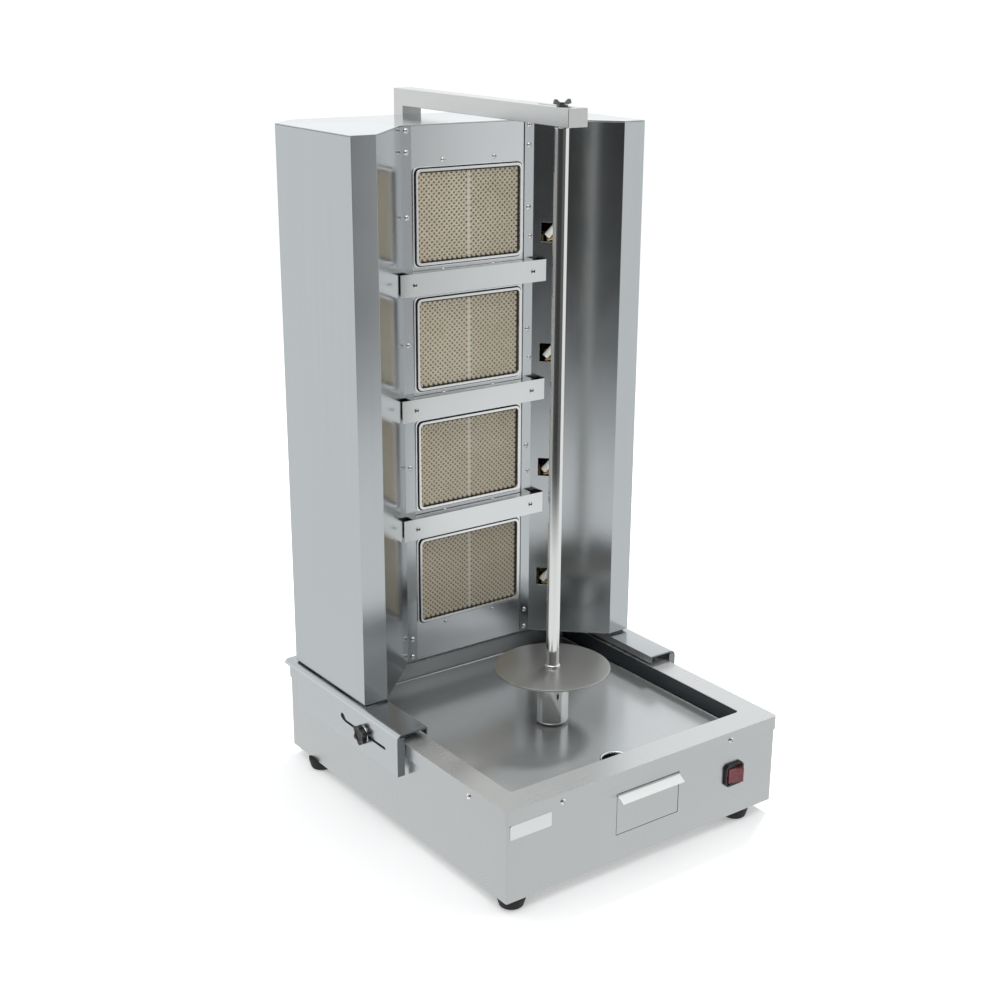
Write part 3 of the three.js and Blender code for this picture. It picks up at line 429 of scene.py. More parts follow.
def moulded(name, colour, rough, grain_mm=0.9, bump=0.25, spread=0.35):
    """Moulded plastic or rubber: fine texture, slight fading and dust in the tone."""
    paint = Paint(name)
    cloud = paint.noise(30.0, 3.0)
    grit = paint.noise(1.0 / (grain_mm * MM), 2.0)
    light = tuple(min(c * (1 + spread) + 0.004, 1) for c in colour)
    paint.colour(paint.mix(paint.span(cloud, 0.3, 0.75, 0, 1), colour, light))
    paint.roughness(paint.span(cloud, 0.3, 0.7, rough - 0.06, rough + 0.08))
    paint.bump(grit, bump, 0.06)
    return paint.material


CASING = steel("casing_satin", 0.54, 0.165, "z", (0.96, 1.0, 1.02))
CALM = {"streak": 0.006, "fine_spread": 0.002}      # the base's sheet is smoother than the tower's
BASE_STEEL = steel("base_satin", 0.56, 0.28, "x_coarse", (0.985, 1.0, 1.0), **CALM)
DECK_STEEL = steel("deck_satin", 0.56, 0.28, "x_coarse", (0.985, 1.0, 0.995), **CALM)
DRAWER_STEEL = steel("drawer_front_satin", 0.56, 0.28, "x_coarse", (0.985, 1.0, 1.0), **CALM)
TRAY_STEEL = steel("tray_rolled_sheet", 0.53, 0.21, "x", (0.97, 1.0, 1.01), smudge=0.03, metallic=0.56)
PANEL_STEEL = steel("burner_wall_sheet", 0.72, 0.19, "z", (0.98, 1.0, 1.01))
STRIP_STEEL = steel("strip_bright_sheet", 0.80, 0.24, "x", (0.985, 1.0, 0.995))
ARM_STEEL = steel("arm_tube", 0.66, 0.26, "y", (1.0, 0.995, 0.985))
SHAFT_STEEL = steel("polished_shaft", 0.78, 0.09, "z", (1.0, 1.0, 0.975), streak=0.05, smudge=0.02)
DISC_STEEL = steel("disc_satin", 0.42, 0.30, "x", (1.0, 1.0, 0.96), metallic=0.8)
DULL = steel("dull_sheet", 0.40, 0.42, "x")
ZINC = steel("screw_zinc", 0.86, 0.20, "z", (1.0, 0.99, 0.96))
WING_STEEL = steel("wing_screw_oxide", 0.22, 0.35, "z", (0.95, 1.0, 1.03))
BRACKET_STEEL = steel("bracket_rolled", 0.57, 0.24, "y", (0.965, 1.0, 1.02), streak=0.006, metallic=0.95)
BEAD_STEEL = steel("burner_bead", 0.88, 0.24, "z")
BLACK = moulded("black_moulding", (0.012, 0.012, 0.013), 0.42)
RUBBER = moulded("black_rubber_foot", (0.014, 0.014, 0.014), 0.75, 1.6, 0.4)
CAST = moulded("grey_cast_housing", (0.10, 0.105, 0.11), 0.55, 1.2, 0.5)


def brass_material():
    """Turned brass, from bright to slightly brown."""
    paint = Paint("machined_brass").set(Metallic=1.0)
    rings = paint.noise(1.0, 3.0, 0.6, (160, 160, 160))
    cloud = paint.noise(25.0, 3.0)
    paint.colour(paint.mix(paint.span(cloud, 0.3, 0.7, 0, 1), (0.55, 0.38, 0.14), (0.78, 0.58, 0.28)))
    paint.roughness(paint.span(rings, 0.3, 0.7, 0.22, 0.38))
    paint.bump(rings, 0.1, 0.05)
    return paint.material


GAS_HOLE_WAVE = (2160.0, 2300.0)         # radians per metre: fine gas holes 2.9 x 2.7 mm apart


def ceramic_material():
    """Tan fired plaque: warm at the left edge, olive towards the right, a paler seam in the middle, chalky."""
    paint = Paint("burner_ceramic_tan")
    cloud = paint.noise(18.0, 4.0, 0.6)
    grit = paint.noise(900.0, 2.0)
    tone = paint.mix(paint.span(cloud, 0.35, 0.65, 0, 1), (0.53, 0.46, 0.34), (0.60, 0.54, 0.42))
    tone = paint.mix(paint.span(grit, 0.35, 0.7, 0, 0.6), tone, (0.72, 0.68, 0.57))
    across = paint.axis("X")
    tone = paint.mix(paint.span(across, -0.05, 0.09, 0, 0.3), tone, (0.40, 0.38, 0.28))
    tone = paint.mix(paint.span(across, -0.072, -0.09, 0, 0.35), tone, (0.66, 0.47, 0.30))
    from_seam = paint.math("ABSOLUTE", across, 0.0)
    tone = paint.mix(paint.span(from_seam, 0.0032, 0.0018, 0, 0.6), tone, (0.62, 0.62, 0.57))
    # painted shade: the fine gas holes are painted as dark dots for the shade inside them
    wave_x = paint.math("SINE", paint.math("MULTIPLY", across, GAS_HOLE_WAVE[0]), 0.0)
    wave_z = paint.math("SINE", paint.math("MULTIPLY", paint.axis("Z"), GAS_HOLE_WAVE[1]), 0.0)
    hole = paint.span(paint.math("MULTIPLY", wave_x, wave_z), 0.55, 0.8, 0, 0.55)
    paint.colour(paint.mix(hole, tone, (0.20, 0.17, 0.12)))
    paint.roughness(paint.span(cloud, 0.3, 0.7, 0.8, 0.95))
    paint.bump(grit, 0.5, 0.1)
    return paint.material


def rocker_material():
    """The switch's dark red, faintly clear plastic."""
    paint = Paint("rocker_red").set(Transmission_Weight=0.25, IOR=1.49, Coat_Weight=0.4)
    cloud = paint.noise(160.0, 2.0)
    paint.colour(paint.mix(paint.span(cloud, 0.3, 0.7, 0, 1), (0.15, 0.018, 0.026), (0.26, 0.04, 0.05)))
    paint.roughness(paint.span(cloud, 0.3, 0.7, 0.16, 0.26))
    paint.bump(cloud, 0.1, 0.05)
    return paint.material


def white_ceramic():
    """Glazed igniter ceramic."""
    paint = Paint("igniter_ceramic").set(Coat_Weight=0.3)
    cloud = paint.noise(120.0, 2.0)
    paint.colour(paint.mix(cloud, (0.78, 0.76, 0.70), (0.9, 0.89, 0.86)))
    paint.roughness(paint.span(cloud, 0.3, 0.7, 0.25, 0.4))
    return paint.material


def painted_dark_ceramic(name, dark, light):
    """Ceramic painted dark: painted shade in the plaque's gas holes, and the frame's painted shadow on its rim
    beside the frame.
    """
    paint = Paint(name)
    cloud = paint.noise(60.0, 3.0)
    paint.colour(paint.mix(paint.span(cloud, 0.3, 0.7, 0, 1), dark, light))
    paint.roughness(paint.span(cloud, 0.3, 0.7, 0.85, 0.97))
    return paint.material


BRASS = brass_material()
CERAMIC = ceramic_material()
# painted shade: the dimples' floors are painted dark for the shade inside the gas holes
HOLE_SHADE_PAINT = painted_dark_ceramic("plaque_hole_painted_shade", (0.21, 0.18, 0.13), (0.30, 0.26, 0.19))
# painted shadow: the plaque's rim beside the frame is painted near black for the shadow of the frame's bead
RIM_SHADOW_PAINT = painted_dark_ceramic("plaque_rim_painted_shadow", (0.035, 0.032, 0.026), (0.08, 0.07, 0.055))
# painted shade: a near black put where there is only shade, in slots, gaps and behind the clamp slots
SHADOW_BLACK = moulded("painted_shade_black", (0.004, 0.004, 0.004), 0.6)
ROCKER = rocker_material()
WHITE_CERAMIC = white_ceramic()

# ---------------------------------------------------------------- CAD nodes that stay
NUMBERED = (1, 2, 3, 4)
CAD_LOOKS = [      # material, edge rounding in mm, its segments, nodes
    (CASING, 0.4, 2, ["wing_left", "wing_right", "tower_top_cover", "tower_back_panel", "arm_socket"]),
    (BASE_STEEL, 0.45, 2, ["base_shell"]),
    (DECK_STEEL, 0.45, 2, ["base_deck"]),
    (BRACKET_STEEL, 0.45, 2, ["bracket_left", "bracket_right"]),
    (TRAY_STEEL, 0.4, 2, ["drip_pan"]),
    (BASE_STEEL, 0.4, 2, ["grease_drawer_box"]),
    (DRAWER_STEEL, 0.4, 2, ["grease_drawer_front"]),
    (PANEL_STEEL, 0.3, 2, ["burner_panel"]),
    (ARM_STEEL, 0.7, 3, ["spit_arm"]),
    (DULL, 0.3, 2, ["base_bottom", "drawer_guide", "motor_bracket", "tower_base_plate"]),
    (DULL, 0.4, 2, [f"burner_body_{i}" for i in NUMBERED]),
    (CAST, 1.0, 3, ["gearbox", "drive_motor"]),
    (BRASS, 0.3, 2, ["gas_manifold", "spit_top_bearing", "drive_bush"] + [f"gas_valve_{i}" for i in NUMBERED]),
    (BLACK, 0.5, 3, ["switch_bezel", "cable_gland"]),
    (BLACK, 0.6, 3, [f"gas_knob_{i}" for i in NUMBERED]),
    (BEAD_STEEL, 0.4, 2, [f"burner_frame_{i}" for i in NUMBERED]),
    (STRIP_STEEL, 0.5, 3, ["bridge_strip_1", "bridge_strip_2", "bridge_strip_3"]),
    (RUBBER, 0.6, 3, ["foot_front_left", "foot_front_right", "foot_back_left", "foot_back_right"]),
    (ROCKER, 0.5, 3, ["switch_rocker"]),
    (SHAFT_STEEL, 0.3, 2, ["drive_spigot"]),
    (WING_STEEL, 0.5, 3, ["wing_screw"]),
    # hidden behind the finer pieces that replace them
    (CERAMIC, 0, 2, [f"burner_plaque_{i}" for i in NUMBERED]),
]
for material, rounding, rounds, nodes in CAD_LOOKS:
    for node in nodes:
        finish_cad(node, material, rounding, rounds)

# painted light: the pan's right wall and the brackets' front lips are painted dark as painted shade, the
# drawer's lip is painted bright as a painted highlight; the deck's top is dull
PAN_WALL_FACE, DECK_TOP = 213.6, 160.0
DRAWER_LIP, BRACKET_LIP = (12.2, 11.6), (0.9, 0.5)     # the tone fades in so far behind the front edge
# painted shade: the pan's right wall is painted almost black for the shade and dark reflection it shows
tone_beyond(TRAY_STEEL, "X", PAN_WALL_FACE - 0.4, PAN_WALL_FACE, (0.06, 0.07, 0.08))
dull_above(DECK_STEEL, DECK_TOP, 1.0, 0.5)
drawer_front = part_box("grease_drawer_front")[0][1] / MM
# painted highlight: the drawer's folded lip is painted near white for the light it catches from above
tone_beyond(DRAWER_STEEL, "Y", *(drawer_front + d for d in DRAWER_LIP), (0.93, 0.94, 0.92))
bracket_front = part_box("bracket_left")[0][1] / MM
# painted shade: the brackets' front lips are painted dark for the shade and dark reflection they show
tone_beyond(BRACKET_STEEL, "Y", *(bracket_front + d for d in BRACKET_LIP), (0.24, 0.26, 0.27))

# ---------------------------------------------------------------- the spit
DISC_R, DISC_TOP, DISC_SHEET = 87.75, 223, 3
SHAFT_R, WELD_TOP = 10, 228
BEADS = 22                             # ripples round the weld between disc and shaft
AXIS = Matrix.Translation((0, SPIT_Y, 0))


def weld_ripple(angle, radius, height):
    """The weld collar's uneven surface; the shaft itself stays true."""
    if SHAFT_R + 0.3 < radius and height > DISC_TOP + 0.5:
        return 0.2 * math.sin(angle * BEADS) - 0.2 + 0.2 * noise.noise((angle * 3, radius, 0))
    return 0.0


def turned(profile, rounding, segments, name, material, slot, replaced, wobble=still):
    """A piece of the spit turned about its axis, in place of its CAD node."""
    body = lathe(rounded_profile(profile, rounding), segments, wobble)
    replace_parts(Shape().add(*body, AXIS).piece(name, "spit", material, slot), replaced)


turned([(0, DISC_TOP - DISC_SHEET), (DISC_R, DISC_TOP - DISC_SHEET), (DISC_R, DISC_TOP), (0, DISC_TOP)],
       1.1, 160, "spit_disc_turned", DISC_STEEL, "dull_steel", "spit_disc")
turned([(0, 223.3), (12.0, 223.3), (12.2, 224.6), (11.6, 226.2), (10.6, 227.2), (SHAFT_R, WELD_TOP),
        (SHAFT_R, 1014.4), (8.6, 1016.4), (6, 1016.4), (6, 1033), (5, 1034.4), (0, 1034.4)],
       0.6, 88, "spit_shaft_turned", SHAFT_STEEL, "polished_steel", "spit_shaft", weld_ripple)
turned([(0, 191), (10.3, 191), (10.3, 152), (17.5, 152), (17.5, 132.7), (19.5, 132.7), (21.8, 133.15),
        (23.7, 134.4), (25.0, 136.4), (25.5, 138.7), (25.5, 219.6), (0, 219.6)],
       0.7, 96, "spit_hub_turned", SHAFT_STEEL, "polished_steel", "spit_hub")

# ---------------------------------------------------------------- screws
screws = {"base": Shape(), "tower": Shape()}
# (radius, height) of the heads
FLANGE_HEAD, WALL_HEAD, FRAME_HEAD = (4.6, 2.6), (4.0, 2.4), (3.6, 2.4)
WINDOW_HEAD, PANEL_HEAD = (3.4, 2.0), (3.2, 1.8)
FLANGE_X, FLANGE_Y, FLANGE_Z = 252.5, 297.5, 147           # faces of the deck's turned-down flange
WALL_Y, FRAME_LEAF_Y, BACK_Y, SOCKET_Y = 151.1, 152.6, 304, 306.3
BACK_ROWS = (192, 420, 640, 990)                           # the arm's socket covers the middle one at the top


def screw(body, x, y, z, direction, head, turn):
    """One screw; the turn of its cross only has to look unplanned."""
    where = placed(x, y, z, direction) @ Matrix.Rotation(turn, 4, "Z")
    screws[body].add(*screw_head(*head), where)


for x in (-157, 157):
    screw("base", x, -FLANGE_Y, FLANGE_Z, "-y", FLANGE_HEAD, 0.4 + x)
    screw("base", x, FLANGE_Y, FLANGE_Z, "y", FLANGE_HEAD, 1.1 + x)
for y in (-210, 210):
    screw("base", -FLANGE_X, y, FLANGE_Z, "-x", FLANGE_HEAD, y)
    screw("base", FLANGE_X, y, FLANGE_Z, "x", FLANGE_HEAD, y + 0.5)
for i, z in enumerate((997, 967, 875, 688, 499, 217, 187)):
    for x in (-109, 109):
        screw("tower", x, WALL_Y, z, "-y", WALL_HEAD, i * 1.3 + x)
for i, z in enumerate((831, 642, 456)):
    screw("tower", 113, WALL_Y, z, "-y", WINDOW_HEAD, i)
for i, z in enumerate(BURNER_Z):
    for x in (-45.5, 45.5):
        screw("tower", x, FRAME_LEAF_Y, z + 80.5, "-y", FRAME_HEAD, i + x)
        screw("tower", x, FRAME_LEAF_Y, z - 79, "-y", FRAME_HEAD, i * 2 + x)
for x in (-186, 0, 186):
    for z in BACK_ROWS if x else BACK_ROWS[:3]:
        screw("tower", x, BACK_Y, z, "y", PANEL_HEAD, x + z)
for x in (-27, 27):
    for z in (775, 860, 945):
        screw("tower", x, SOCKET_Y, z, "y", WINDOW_HEAD, x + z)
for body, shape in screws.items():
    shape.piece(f"{body}_screws", body, ZINC, "bright_steel", 30)


# ---------------------------------------------------------------- sunk fasteners of the cross strips
def slotted_recess(x, y, z, width, height):
    """Three strokes of an upright H lying in the face of a strip, dark as the painted shade of a sunk slot."""
    stroke, back = 1.3, y + 0.4
    half_w, half_h = width / 2, height / 2
    return (
        box(x - half_w, x - half_w + stroke, y, back, z - half_h, z + half_h),
        box(x + half_w - stroke, x + half_w, y, back, z - half_h, z + half_h),
        box(x - half_w + stroke, x + half_w - stroke, y + 0.05, back, z - stroke, z + stroke * 0.6),
    )


STRIP_FACE, RIVET_SINK, STRIP_RISE = 134.45, 0.65, 93.75       # a strip's middle above its burner's
SLOT_SIZE = (6.4, 4.6)
strip_heads, strip_slots = Shape(), Shape()
rivet = rounded_profile([(0, 0), (4.3, 0), (4.1, 0.5), (0, 0.5)], 0.2)
for i in range(3):
    for x in (-107, 107):
        z = BURNER_Z[i] + STRIP_RISE
        strip_heads.add(*lathe(rivet, 32), placed(x, STRIP_FACE + RIVET_SINK, z, "-y"))
        for stroke_shape in slotted_recess(x, STRIP_FACE, z, *SLOT_SIZE):
            strip_slots.add(*stroke_shape)
strip_heads.piece("strip_rivet_heads", "tower", STRIP_STEEL, "bright_steel", 30)
# painted shade: the black strokes stand for the shade in the sunk slots
strip_slots.piece("strip_rivet_slots", "tower", SHADOW_BLACK, "dull_steel", 30)


# ---------------------------------------------------------------- perforated plaques
TILE_HALF = (93.0, 67.5)
TILE_FRONT, TILE_BACK = 152.6, 165.6
HOLE_PITCH, ROW_PITCH = 8.73, 8.2      # one staggered cell of the pressed dimples
CELL_STEPS = 6                         # grid steps along a cell's side
HOLE_DEPTH = (1.8, 1.3)                # at a dimple's middle point and at the four next to it
FIELD_HALF = (90.6, 64.9)              # the dimples end here
SEAM_HALF = 2.4                        # the two half plaques meet at a strip with no dimples
RIM_RIGHT, RIM_TOP, RIM_BOTTOM = 89.4, 63.2, 64.4      # past these the rim beside the frame is painted dark: the frame's painted shadow


def perforated_tile(centre_z):
    """A slab whose front is a grid of points, pushed in at the staggered dimples.

    It comes with each face's material: 0 ceramic, 1 a dimple's floor, painted dark as shade in its gas hole, 2
    the rim, painted dark as the frame's shadow.
    """
    step_x, step_z = HOLE_PITCH / CELL_STEPS, ROW_PITCH / CELL_STEPS
    half_columns, half_rows = int(TILE_HALF[0] / step_x), int(TILE_HALF[1] / step_z)
    xs = [-TILE_HALF[0]] + [k * step_x for k in range(-half_columns, half_columns + 1)] + [TILE_HALF[0]]
    zs = [-TILE_HALF[1]] + [k * step_z for k in range(-half_rows, half_rows + 1)] + [TILE_HALF[1]]
    half_cell = CELL_STEPS // 2

    def depth(i, j):
        """How far a grid point is pushed in, by its steps to the nearest dimple of the staggered pair."""
        column, row = i - 1 - half_columns, j - 1 - half_rows
        if abs(xs[i]) > FIELD_HALF[0] or abs(zs[j]) > FIELD_HALF[1] or abs(xs[i]) < SEAM_HALF:
            return 0.0
        reaches = []
        for shift in (0, half_cell):
            off_x = (column + shift + half_cell) % CELL_STEPS - half_cell
            off_z = (row + shift + half_cell) % CELL_STEPS - half_cell
            reaches.append(abs(off_x) + abs(off_z))
        return HOLE_DEPTH[min(reaches)] if min(reaches) < 2 else 0.0

    deep = [[depth(i, j) for i in range(len(xs))] for j in range(len(zs))]
    verts = [(x, TILE_FRONT + deep[j][i], centre_z + z) for j, z in enumerate(zs) for i, x in enumerate(xs)]
    wide = len(xs)
    faces, looks = [], []
    for j in range(len(zs) - 1):
        for i in range(wide - 1):
            a = j * wide + i
            faces.append([a, a + 1, a + wide + 1, a + wide])
            pit = deep[j][i] + deep[j][i + 1] + deep[j + 1][i] + deep[j + 1][i + 1]
            x, z = (xs[i] + xs[i + 1]) / 2, (zs[j] + zs[j + 1]) / 2
            tooth = step_z if i % CELL_STEPS < half_cell else 0.0
            rim = x > RIM_RIGHT or z > RIM_TOP or z < tooth - RIM_BOTTOM
            looks.append(2 if rim else 1 if pit > 2.0 * HOLE_DEPTH[1] else 0)
    low = len(verts)
    corners = [0, wide - 1, len(zs) * wide - 1, (len(zs) - 1) * wide]
    verts += [(verts[c][0], TILE_BACK, verts[c][2]) for c in corners]
    bottom = list(range(0, wide))
    right = [j * wide + wide - 1 for j in range(len(zs))]
    top = [(len(zs) - 1) * wide + i for i in range(wide)]
    left = [j * wide for j in range(len(zs))]
    sides = [
        bottom[::-1] + [low, low + 1], right[::-1] + [low + 1, low + 2],
        top + [low + 2, low + 3], left + [low + 3, low], [low + 3, low + 2, low + 1, low],
    ]
    return verts, faces + sides, looks + [0] * len(sides)


for i, z in enumerate(BURNER_Z):
    tile_verts, tile_faces, looks = perforated_tile(z)
    tile = Shape().add(tile_verts, tile_faces)
    piece = tile.piece(f"perforated_plaque_{i + 1}", "tower", CERAMIC, "burner_ceramic", 60)
    piece.data.materials.append(HOLE_SHADE_PAINT)
    piece.data.materials.append(RIM_SHADOW_PAINT)
    piece.data.polygons.foreach_set("material_index", looks)
    piece.data.polygons.foreach_set("use_smooth", [False] * len(looks))
    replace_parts(piece, f"burner_plaque_{i + 1}")


# ---------------------------------------------------------------- painted gap shadows round the burners, igniters and injectors
def frame_ring(half_w, half_h, radius, thick, y0, y1, centre_z):
    """A flat rounded-rectangle ring standing in the XZ plane."""
    outer = rounded_rect(half_w, half_h, radius)
    inner = rounded_rect(half_w - thick, half_h - thick, max(radius - thick, 1.0))
    loops = [(outer, y0), (outer, y1), (inner, y1), (inner, y0)]
    verts = [(x, y, centre_z + z) for loop, y in loops for x, z in loop]
    return verts, ring_faces(4, len(outer), closed=True)


# painted shadow: thin black rings put in the gap round each burner frame, where only shade is
GAP_SHADOW_HALF, GAP_SHADOW_CORNER, GAP_SHADOW_WIDTH = (96.6, 71.0), 9.2, 1.5
GAP_SHADOW_FRONT, GAP_SHADOW_BACK = 150.6, 151.05
gap_shadow_rings = Shape()
for z in BURNER_Z:
    gap_shadow_rings.add(*frame_ring(*GAP_SHADOW_HALF, GAP_SHADOW_CORNER, GAP_SHADOW_WIDTH, GAP_SHADOW_FRONT, GAP_SHADOW_BACK, z))
gap_shadow_rings.piece("burner_gap_shadow_rings", "tower", SHADOW_BLACK, "dull_steel", 30)

WINDOW_ALONG = Vector((0.576, -0.818, 0))          # along the right deflector, away from the burners
WINDOW_BEHIND = Vector((0.818, 0.576, 0))          # square to it, into the casing
THROAT_CORNER = Vector((118, 151.1, 0))


def window_point(along, behind, height):
    """A point behind the right deflector, measured from its inner corner."""
    return THROAT_CORNER + WINDOW_ALONG * along + WINDOW_BEHIND * behind + Vector((0, 0, height))


def rod(start, end, radius, segments=28):
    """A round bar with rounded rims between two points."""
    axis = end - start
    profile = rounded_profile([(0, 0), (radius, 0), (radius, axis.length), (0, axis.length)], radius * 0.25)
    turn = axis.to_track_quat("Z", "Y").to_matrix().to_4x4()
    return (*lathe(profile, segments), Matrix.Translation(start) @ turn)


IGNITER_R, PILOT_TUBE_R, INJECTOR_R = 5.2, 2.6, 4.2
igniters, nozzles = Shape(), Shape()
for z in BURNER_Z:
    igniters.add(*rod(window_point(20, 7, z - 43), window_point(33, 11, z - 27), IGNITER_R))
    nozzles.add(*rod(window_point(20, 9, z - 49), window_point(31, 9, z - 45), PILOT_TUBE_R))
    nozzles.add(*rod(window_point(22, 13, z - 50), window_point(22, 13, z - 42), INJECTOR_R))
    nozzles.add(*rod(window_point(29, 14, z - 50), window_point(29, 14, z - 40), INJECTOR_R))
igniters.piece("igniter_ceramics", "tower", WHITE_CERAMIC, "burner_ceramic", 40)
nozzles.piece("pilot_nozzles", "tower", BRASS, "brass", 40)

# ---------------------------------------------------------------- small parts of the base
PAN_X, PAN_FRONT_Y, PAN_BACK_Y, PAN_FLOOR = 214, -253.5, 183, 132
DRAIN_Y, DRAIN_R = -222, 22

# weld beads along the pan's corners, in the brighter strip steel: a painted highlight along the fold
WELD_X, WELD_BACK_Y, WELD_Z, WELD_R = PAN_X - 2.4, PAN_BACK_Y - 2.4, PAN_FLOOR + 0.3, 1.6
fold = Shape()
for a, b in (((WELD_X, PAN_FRONT_Y + 3), (WELD_X, PAN_BACK_Y - 3)),
             ((-WELD_X, PAN_FRONT_Y + 3), (-WELD_X, PAN_BACK_Y - 3)),
             ((-PAN_X + 5, WELD_BACK_Y), (PAN_X - 5, WELD_BACK_Y))):
    fold.add(*rod(Vector((*a, WELD_Z)), Vector((*b, WELD_Z)), WELD_R, 12))
fold.piece("pan_corner_weld_highlight", "base", STRIP_STEEL, "bright_steel", 40)

drain_lip = Shape().add(*ring_lathe(
    [(DRAIN_R - 1.2, PAN_FLOOR - 5), (DRAIN_R - 0.4, PAN_FLOOR - 5), (DRAIN_R + 0.2, PAN_FLOOR - 0.6),
     (DRAIN_R + 1.6, PAN_FLOOR + 0.9), (DRAIN_R + 0.4, PAN_FLOOR + 1.3), (DRAIN_R - 0.8, PAN_FLOOR + 0.6),
     (DRAIN_R - 1.6, PAN_FLOOR - 1.2)], 72), Matrix.Translation((0, DRAIN_Y, 0)))
drain_lip.piece("drain_lip", "base", STRIP_STEEL, "bright_steel", 60)

# a black sheet behind each clamp slot, painted shade for the dark inside of the slot
BRACKET_X, SLOT_Z, SLOT_FRONT, SLOT_BACK = 266, 142, -15, 97
SLOT_SHADE_THICK = 0.6
slot_shade_outline = [(SLOT_FRONT - 6, SLOT_Z - 5), (SLOT_BACK + 3, SLOT_Z - 5), (SLOT_BACK + 16, SLOT_Z - 3),
                (SLOT_BACK + 16, SLOT_Z + 12), (SLOT_BACK + 2, SLOT_Z + 12), (SLOT_BACK - 6, SLOT_Z + 5),
                (SLOT_FRONT - 6, SLOT_Z + 5)]
slot_shade_sheets = Shape()
for side in (-1, 1):
    x = side * (BRACKET_X - 1.9)
    inner = x - side * SLOT_SHADE_THICK
    slot_shade_sheets.add(*prism(slot_shade_outline, min(x, inner), max(x, inner), "yz"))
slot_shade_sheets.piece("slot_shade_sheet", "tower", SHADOW_BLACK, "black_rubber", 30)

# the clamps' knobs, each on a stud with a bright washer
STUD_Y, KNOB_FACE = 43.5, 266.3
KNOB_R, LOBES, LOBE_DEPTH = 16.4, 6, 2.2
# the lobed side as (height, inset) and the round face within it as (height, radius)
KNOB_SIDE = [(2.8, 1.6), (3.1, 0.7), (3.8, 0.1), (4.4, 0.0), (7.8, 0.0), (8.5, 0.25), (9.1, 0.9), (9.4, 1.9)]
KNOB_FACE_RINGS = [(9.35, 9.4), (9.1, 8.9), (8.0, 8.5), (7.7, 8.0), (7.9, 5.4), (8.0, 2.6)]
WASHER = [(2.2, 0.1), (12.4, 0.1), (12.9, 0.5), (12.9, 1.2), (12.5, 1.6), (2.2, 1.6)]
STUD = [(0, -28.3), (1.9, -28.3), (1.9, 2.6), (0, 2.6)]


def star_knob(segments=96):
    """A six-lobed hand knob about +Z with rounded rims and a sunk round face."""
    def ring(height, radius_at):
        return [(radius_at(a) * math.cos(a), radius_at(a) * math.sin(a), height) for a in circle(segments)]

    def lobed(inset):
        return lambda a: KNOB_R - LOBE_DEPTH * (1 - math.cos(LOBES * a)) - inset

    rings = [ring(height, lobed(inset)) for height, inset in KNOB_SIDE]
    rings += [ring(height, lambda a, radius=radius: radius) for height, radius in KNOB_FACE_RINGS]
    return closed_rings(rings, segments, KNOB_SIDE[0][0], KNOB_FACE_RINGS[-1][0])


for side, body, direction in ((-1, "clamp_left", "-x"), (1, "clamp_right", "x")):
    where = placed(side * KNOB_FACE, STUD_Y, SLOT_Z, direction)
    knob = Shape().add(*star_knob(), where).piece(f"{body}_star_knob", body, BLACK, "black_plastic", 50)
    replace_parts(knob, f"clamp_knob_{body[6:]}")
    hardware = Shape().add(*ring_lathe(WASHER, 56), where).add(*lathe(rounded_profile(STUD, 0.3), 24), where)
    hardware.piece(f"{body}_stud_and_washer", body, ZINC, "bright_steel", 50)

# the blank plate in the sticker's place
PLATE_X, PLATE_Z, PLATE_FRONT, PLATE_BACK = -210, 126, -296.1, -295.05
plate = Shape().add(*prism(rounded_rect(35, 11, 2.5), PLATE_FRONT, PLATE_BACK, "xz"),
                    Matrix.Translation((PLATE_X, 0, PLATE_Z)))
plate.piece("blank_rating_plate", "base", STRIP_STEEL, "bright_steel", 30, bevel=0.25)

# ---------------------------------------------------------------- floor, light and camera
FLOOR_GLOW, FLOOR_REACH = 0.3, 40
# how bright the studio is from each side; heights are the sine of the elevation, azimuths are in degrees
WORLD_LEVEL = 0.92
BACKDROP_LEVEL = 1.06
BACK_LEVEL = 1.15                      # a low band behind the machine
BACK_ABOVE = (0.36, 0.2)               # it fades in downwards between these heights
BACK_BELOW = (-0.02, 0.04)
DARK_LEVEL = 0.13                      # the front left quarter
DARK_RIGHT = (35.5, 29.5)
DARK_LEFT = (-125, -98)
DARK_BELOW = (-0.278, -0.232)          # below this the lit floor shows
DARK_ABOVE = (0.85, 0.5)
DEEP_LEVEL = 0.05                      # its darkest part
DEEP_AZIMUTH = -49
DEEP_FADE = (50, 22)                   # degrees to either side of it


def make_floor():
    """A plain pale floor that glows a little, so that it stays white round the machine."""
    mesh = bpy.data.meshes.new("floor")
    corners = [(-1, -1), (1, -1), (1, 1), (-1, 1)]
    mesh.from_pydata([(x * FLOOR_REACH, y * FLOOR_REACH, 0) for x, y in corners], [], [(0, 1, 2, 3)])
    floor = bpy.data.objects.new("floor", mesh)
    bpy.context.scene.collection.objects.link(floor)
    paint = Paint("pale_floor").set(Roughness=0.9, Emission_Strength=FLOOR_GLOW)
    cloud = paint.noise(3.0, 3.0)
    paint.colour(paint.mix(cloud, (0.93, 0.93, 0.93), (0.96, 0.96, 0.96)))
    paint.shader.inputs["Emission Color"].default_value = (1, 1, 1, 1)
    mesh.materials.append(paint.material)
    floor.visible_glossy = False


